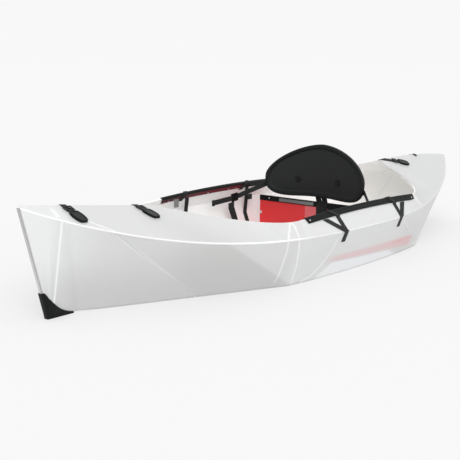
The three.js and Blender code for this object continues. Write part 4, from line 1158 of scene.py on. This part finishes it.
def build_seat():
    mesh = bmesh.new()
    bmesh.ops.create_grid(mesh, x_segments=SEAT_CELLS, y_segments=SEAT_CELLS, size=1.0)
    raised = bmesh.ops.extrude_face_region(mesh, geom=mesh.faces[:])
    top = {v for v in raised["geom"] if isinstance(v, bmesh.types.BMVert)}
    for vertex in mesh.verts:
        place_on_seat(vertex, vertex in top)
    sharp = [edge for edge in mesh.edges if edge.calc_face_angle(0) > SEAT_SHARP]
    bmesh.ops.bevel(
        mesh, geom=sharp, offset=SEAT_ROUND, segments=3, profile=0.5, affect="EDGES", material=-1,
    )
    piece = new_piece("seat_cushion", mesh, foam, "hull")
    add_subdivision(piece, 1)
    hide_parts("seat_pad")
    return piece


seat = build_seat()
print("seat:", len(seat.data.vertices), "points")

# %% [markdown]
# ## Rivets
# Small steel rivets hold the rails to the sheet and the trim to the bulkhead. A squashed ball
# would do from afar, but its rim would meet the rail too steeply. A rivet is a low dome: a short
# curve spun about its axis, closed at the pole by merging, and turned to face the way its
# surface does. All of them share one object, because they never move apart.

# %% A rivet's dome
RIVET_RADIUS, RIVET_HEIGHT, RIVET_STEPS = 0.0036, 0.0015, 14
DOME = [(0.0, 1.0), (0.55, 0.86), (0.9, 0.4), (1.0, 0.0)]


def add_rivet(mesh, place, facing):
    """A low dome with its flat side at place."""
    points = [mesh.verts.new((RIVET_RADIUS * r, 0, RIVET_HEIGHT * h)) for r, h in DOME]
    edges = [mesh.edges.new(pair) for pair in zip(points, points[1:])]
    bmesh.ops.spin(
        mesh, geom=points + edges, cent=(0, 0, 0), axis=(0, 0, 1), angle=2 * math.pi,
        steps=RIVET_STEPS, use_merge=True,
    )
    bmesh.ops.remove_doubles(mesh, verts=[v for v in mesh.verts if not v.tag], dist=SAME_POINT)
    bmesh.ops.holes_fill(mesh, edges=[e for e in mesh.edges if e.is_boundary])
    fresh = [v for v in mesh.verts if not v.tag]
    turn = Vector((0, 0, 1)).rotation_difference(Vector(facing)).to_matrix().to_4x4()
    bmesh.ops.transform(mesh, matrix=Matrix.Translation(place) @ turn, verts=fresh)
    for vertex in fresh:
        vertex.tag = True


print("a rivet is", 2000 * RIVET_RADIUS, "mm wide")

# %% Build the rivets
INNER_RIVETS, INNER_DROP = (-0.360, -0.111, 0.028, 0.081, 0.318), 0.0185
OUTER_RIVETS, OUTER_DROP = (-0.389, 0.336), 0.0115
TRIM_RIVET = (0.2297, 0.283, 0.1800)


def build_rivets():
    mesh = bmesh.new()
    for side in (-1, 1):
        for x in INNER_RIVETS:
            place, outward = on_strip(x, INNER_DROP, -SHEET - RAIL_SKIN, side)
            add_rivet(mesh, place, -outward)
        for x in OUTER_RIVETS:
            place, outward = on_strip(x, OUTER_DROP, RAIL_SKIN, side)
            add_rivet(mesh, place, outward)
        add_rivet(mesh, Vector(TRIM_RIVET) * Vector((1, side, 1)), (-1, 0, 0))
    return new_piece("rivets", mesh, steel, "hull")


rivets = build_rivets()
print("rivets:", len(rivets.data.polygons), "faces")

# %% [markdown]
# ## Small trim
# A few small things sit on the frame's pieces: a grey strip that is a painted sheen on the lower
# bend of the bulkhead's trim, a black slab on the port half of the bulkhead's trim, a strap end
# beside each rear strap, a grey tab inside each side, and a white lug in the bulkhead's edge. The
# real pieces are cut from flat stock, so a thin slab with rounded edges has their true form. A table
# gives two corners of each slab, and says whether port has its mirror.

# %% Slabs with rounded edges
SLAB_ROUND = 0.0006
TRIM = {
    # A grey slab that paints a sheen on the trim's lower bend.
    "trim_sheen": (
        (0.2284, 0.0450, 0.1720), (0.2299, 0.2270, 0.1860), False, sheen_and_tab_grey, "grey_plastic",
    ),
    # A black slab on the port half of the bulkhead's trim.
    "trim_black_slab": (
        (0.2298, -0.2300, 0.1280), (0.2318, -0.0290, 0.1700), False, black_plastic, "black_plastic",
    ),
    "edge_lug": (
        (0.2296, 0.3240, 0.1070), (0.2320, 0.3330, 0.1190), True, hull_sheet, "hull_sheet",
    ),
    "strap_end": (
        (0.1560, 0.3490, 0.1740), (0.1900, 0.3525, 0.1980), True, webbing, "webbing",
    ),
    "side_tab": (
        (-0.3400, 0.3360, 0.1960), (-0.3130, 0.3385, 0.2300), True, sheen_and_tab_grey, "grey_plastic",
    ),
}


def add_slab(mesh, low, high, round_edges=SLAB_ROUND):
    """A box between two corners, whose edges are rounded unless round_edges is zero."""
    middle, size = (Vector(low) + Vector(high)) / 2, Vector(high) - Vector(low)
    place = Matrix.Translation(middle) @ Matrix.Diagonal((*size, 1))
    made = bmesh.ops.create_cube(mesh, size=1.0, matrix=place)["verts"]
    if round_edges:
        edges = list({edge for vertex in made for edge in vertex.link_edges})
        bmesh.ops.bevel(
            mesh, geom=edges, offset=round_edges, segments=2, profile=0.5, affect="EDGES", material=-1,
        )


def build_trim(name, low, high, mirrored, material, slot):
    mesh = bmesh.new()
    add_slab(mesh, low, high)
    if mirrored:
        add_slab(mesh, (low[0], -high[1], low[2]), (high[0], -low[1], high[2]))
    return new_piece(name, mesh, material, "hull", smooth=False)


trim = [build_trim(name, *row) for name, row in TRIM.items()]
print("trim:", [piece.name for piece in trim])

# %% [markdown]
# ## Stitch bars
# Bars of stitched webbing join the two support straps in front of the bulkhead, and each bar
# follows the straps' bends. A curve with a bevelled profile would tilt its ends. A bar starts as
# an upright slab, is cut through where the straps bend, and every point is then shifted to the
# straps' path at its height.

# %% Build the stitch bars
STRAP_PATH = [(0.2271, 0.090), (0.2271, 0.1918), (0.2161, 0.2218), (0.2161, 0.2420)]
STRAP_THICK, BAR_HALF, BAR_PROUD = 0.0018, 0.0040, 0.0006
BARS = ((0.120, 0.166), (0.177, 0.200), (0.2095, 0.2410))


def strap_front(z):
    """X of the support straps' front face at a height."""
    for (x0, z0), (x1, z1) in zip(STRAP_PATH, STRAP_PATH[1:]):
        if z <= z1:
            return x0 + (x1 - x0) * (z - z0) / (z1 - z0)
    return STRAP_PATH[-1][0]


def build_bars():
    mesh = bmesh.new()
    front, back = -BAR_PROUD, STRAP_THICK + BAR_PROUD
    for low, high in BARS:
        add_slab(mesh, (front, -BAR_HALF, low), (back, BAR_HALF, high), round_edges=0)
    for _, bend in STRAP_PATH[1:-1]:
        every = mesh.verts[:] + mesh.edges[:] + mesh.faces[:]
        bmesh.ops.bisect_plane(mesh, geom=every, plane_co=(0, 0, bend), plane_no=(0, 0, 1))
    for vertex in mesh.verts:
        vertex.co.x += strap_front(vertex.co.z)
    return new_piece("stitch_bars", mesh, webbing, "hull", smooth=False)


bars = build_bars()
print("stitch bars:", len(bars.data.polygons), "faces")

# %% [markdown]
# ## Floor and light
# The photograph has a near-white ground and very soft shadows. A large plane takes the shadow, an
# even white sky fills, and one broad sun gives the panels their different greys. A sun lights a
# plane alike everywhere, so the floor meets the sky without a line. Part of the floor's white is
# its own glow, because a floor lit only from above would throw too dark a shadow.

# %% Build the studio
SKY = 0.94
SUN, SUN_TOWARDS, SUN_SPREAD = 2.1, (0.66, 0.62, -0.58), 55
FLOOR, FLOOR_GLOW = 0.36, 0.475
FLOOR_HALF, FLOOR_GAP = 300.0, 0.0005


def build_floor():
    mesh = bmesh.new()
    bmesh.ops.create_grid(mesh, x_segments=1, y_segments=1, size=FLOOR_HALF)
    bmesh.ops.translate(mesh, verts=mesh.verts, vec=(0, 0, -FLOOR_GAP))
    data = bpy.data.meshes.new("floor")
    mesh.to_mesh(data)
    mesh.free()
    ground, _, _ = new_material(
        "studio_floor", Base_Color=(FLOOR, FLOOR, FLOOR, 1), Roughness=1.0, Specular_IOR_Level=0.0,
        Emission_Color=(1, 1, 1, 1), Emission_Strength=FLOOR_GLOW,
    )
    data.materials.append(ground)
    floor = bpy.data.objects.new("floor", data)
    bpy.context.scene.collection.objects.link(floor)


def add_sun(strength, towards, spread):
    lamp = bpy.data.lights.new("sun", "SUN")
    lamp.energy = strength
    lamp.angle = math.radians(spread)
    thing = bpy.data.objects.new("sun", lamp)
    bpy.context.scene.collection.objects.link(thing)
    thing.matrix_world = Vector(towards).to_track_quat("-Z", "Y").to_matrix().to_4x4()


def build_sky(strength):
    world = bpy.data.worlds.new("sky")
    world.use_nodes = True
    bpy.context.scene.world = world
    background = world.node_tree.nodes["Background"]
    background.inputs["Color"].default_value = (1.0, 1.0, 1.0, 1)
    background.inputs["Strength"].default_value = strength


build_floor()
build_sky(SKY)
add_sun(SUN, SUN_TOWARDS, SUN_SPREAD)
bpy.context.scene.view_settings.view_transform = "Standard"
print("studio ready: sky", SKY, "sun", SUN)
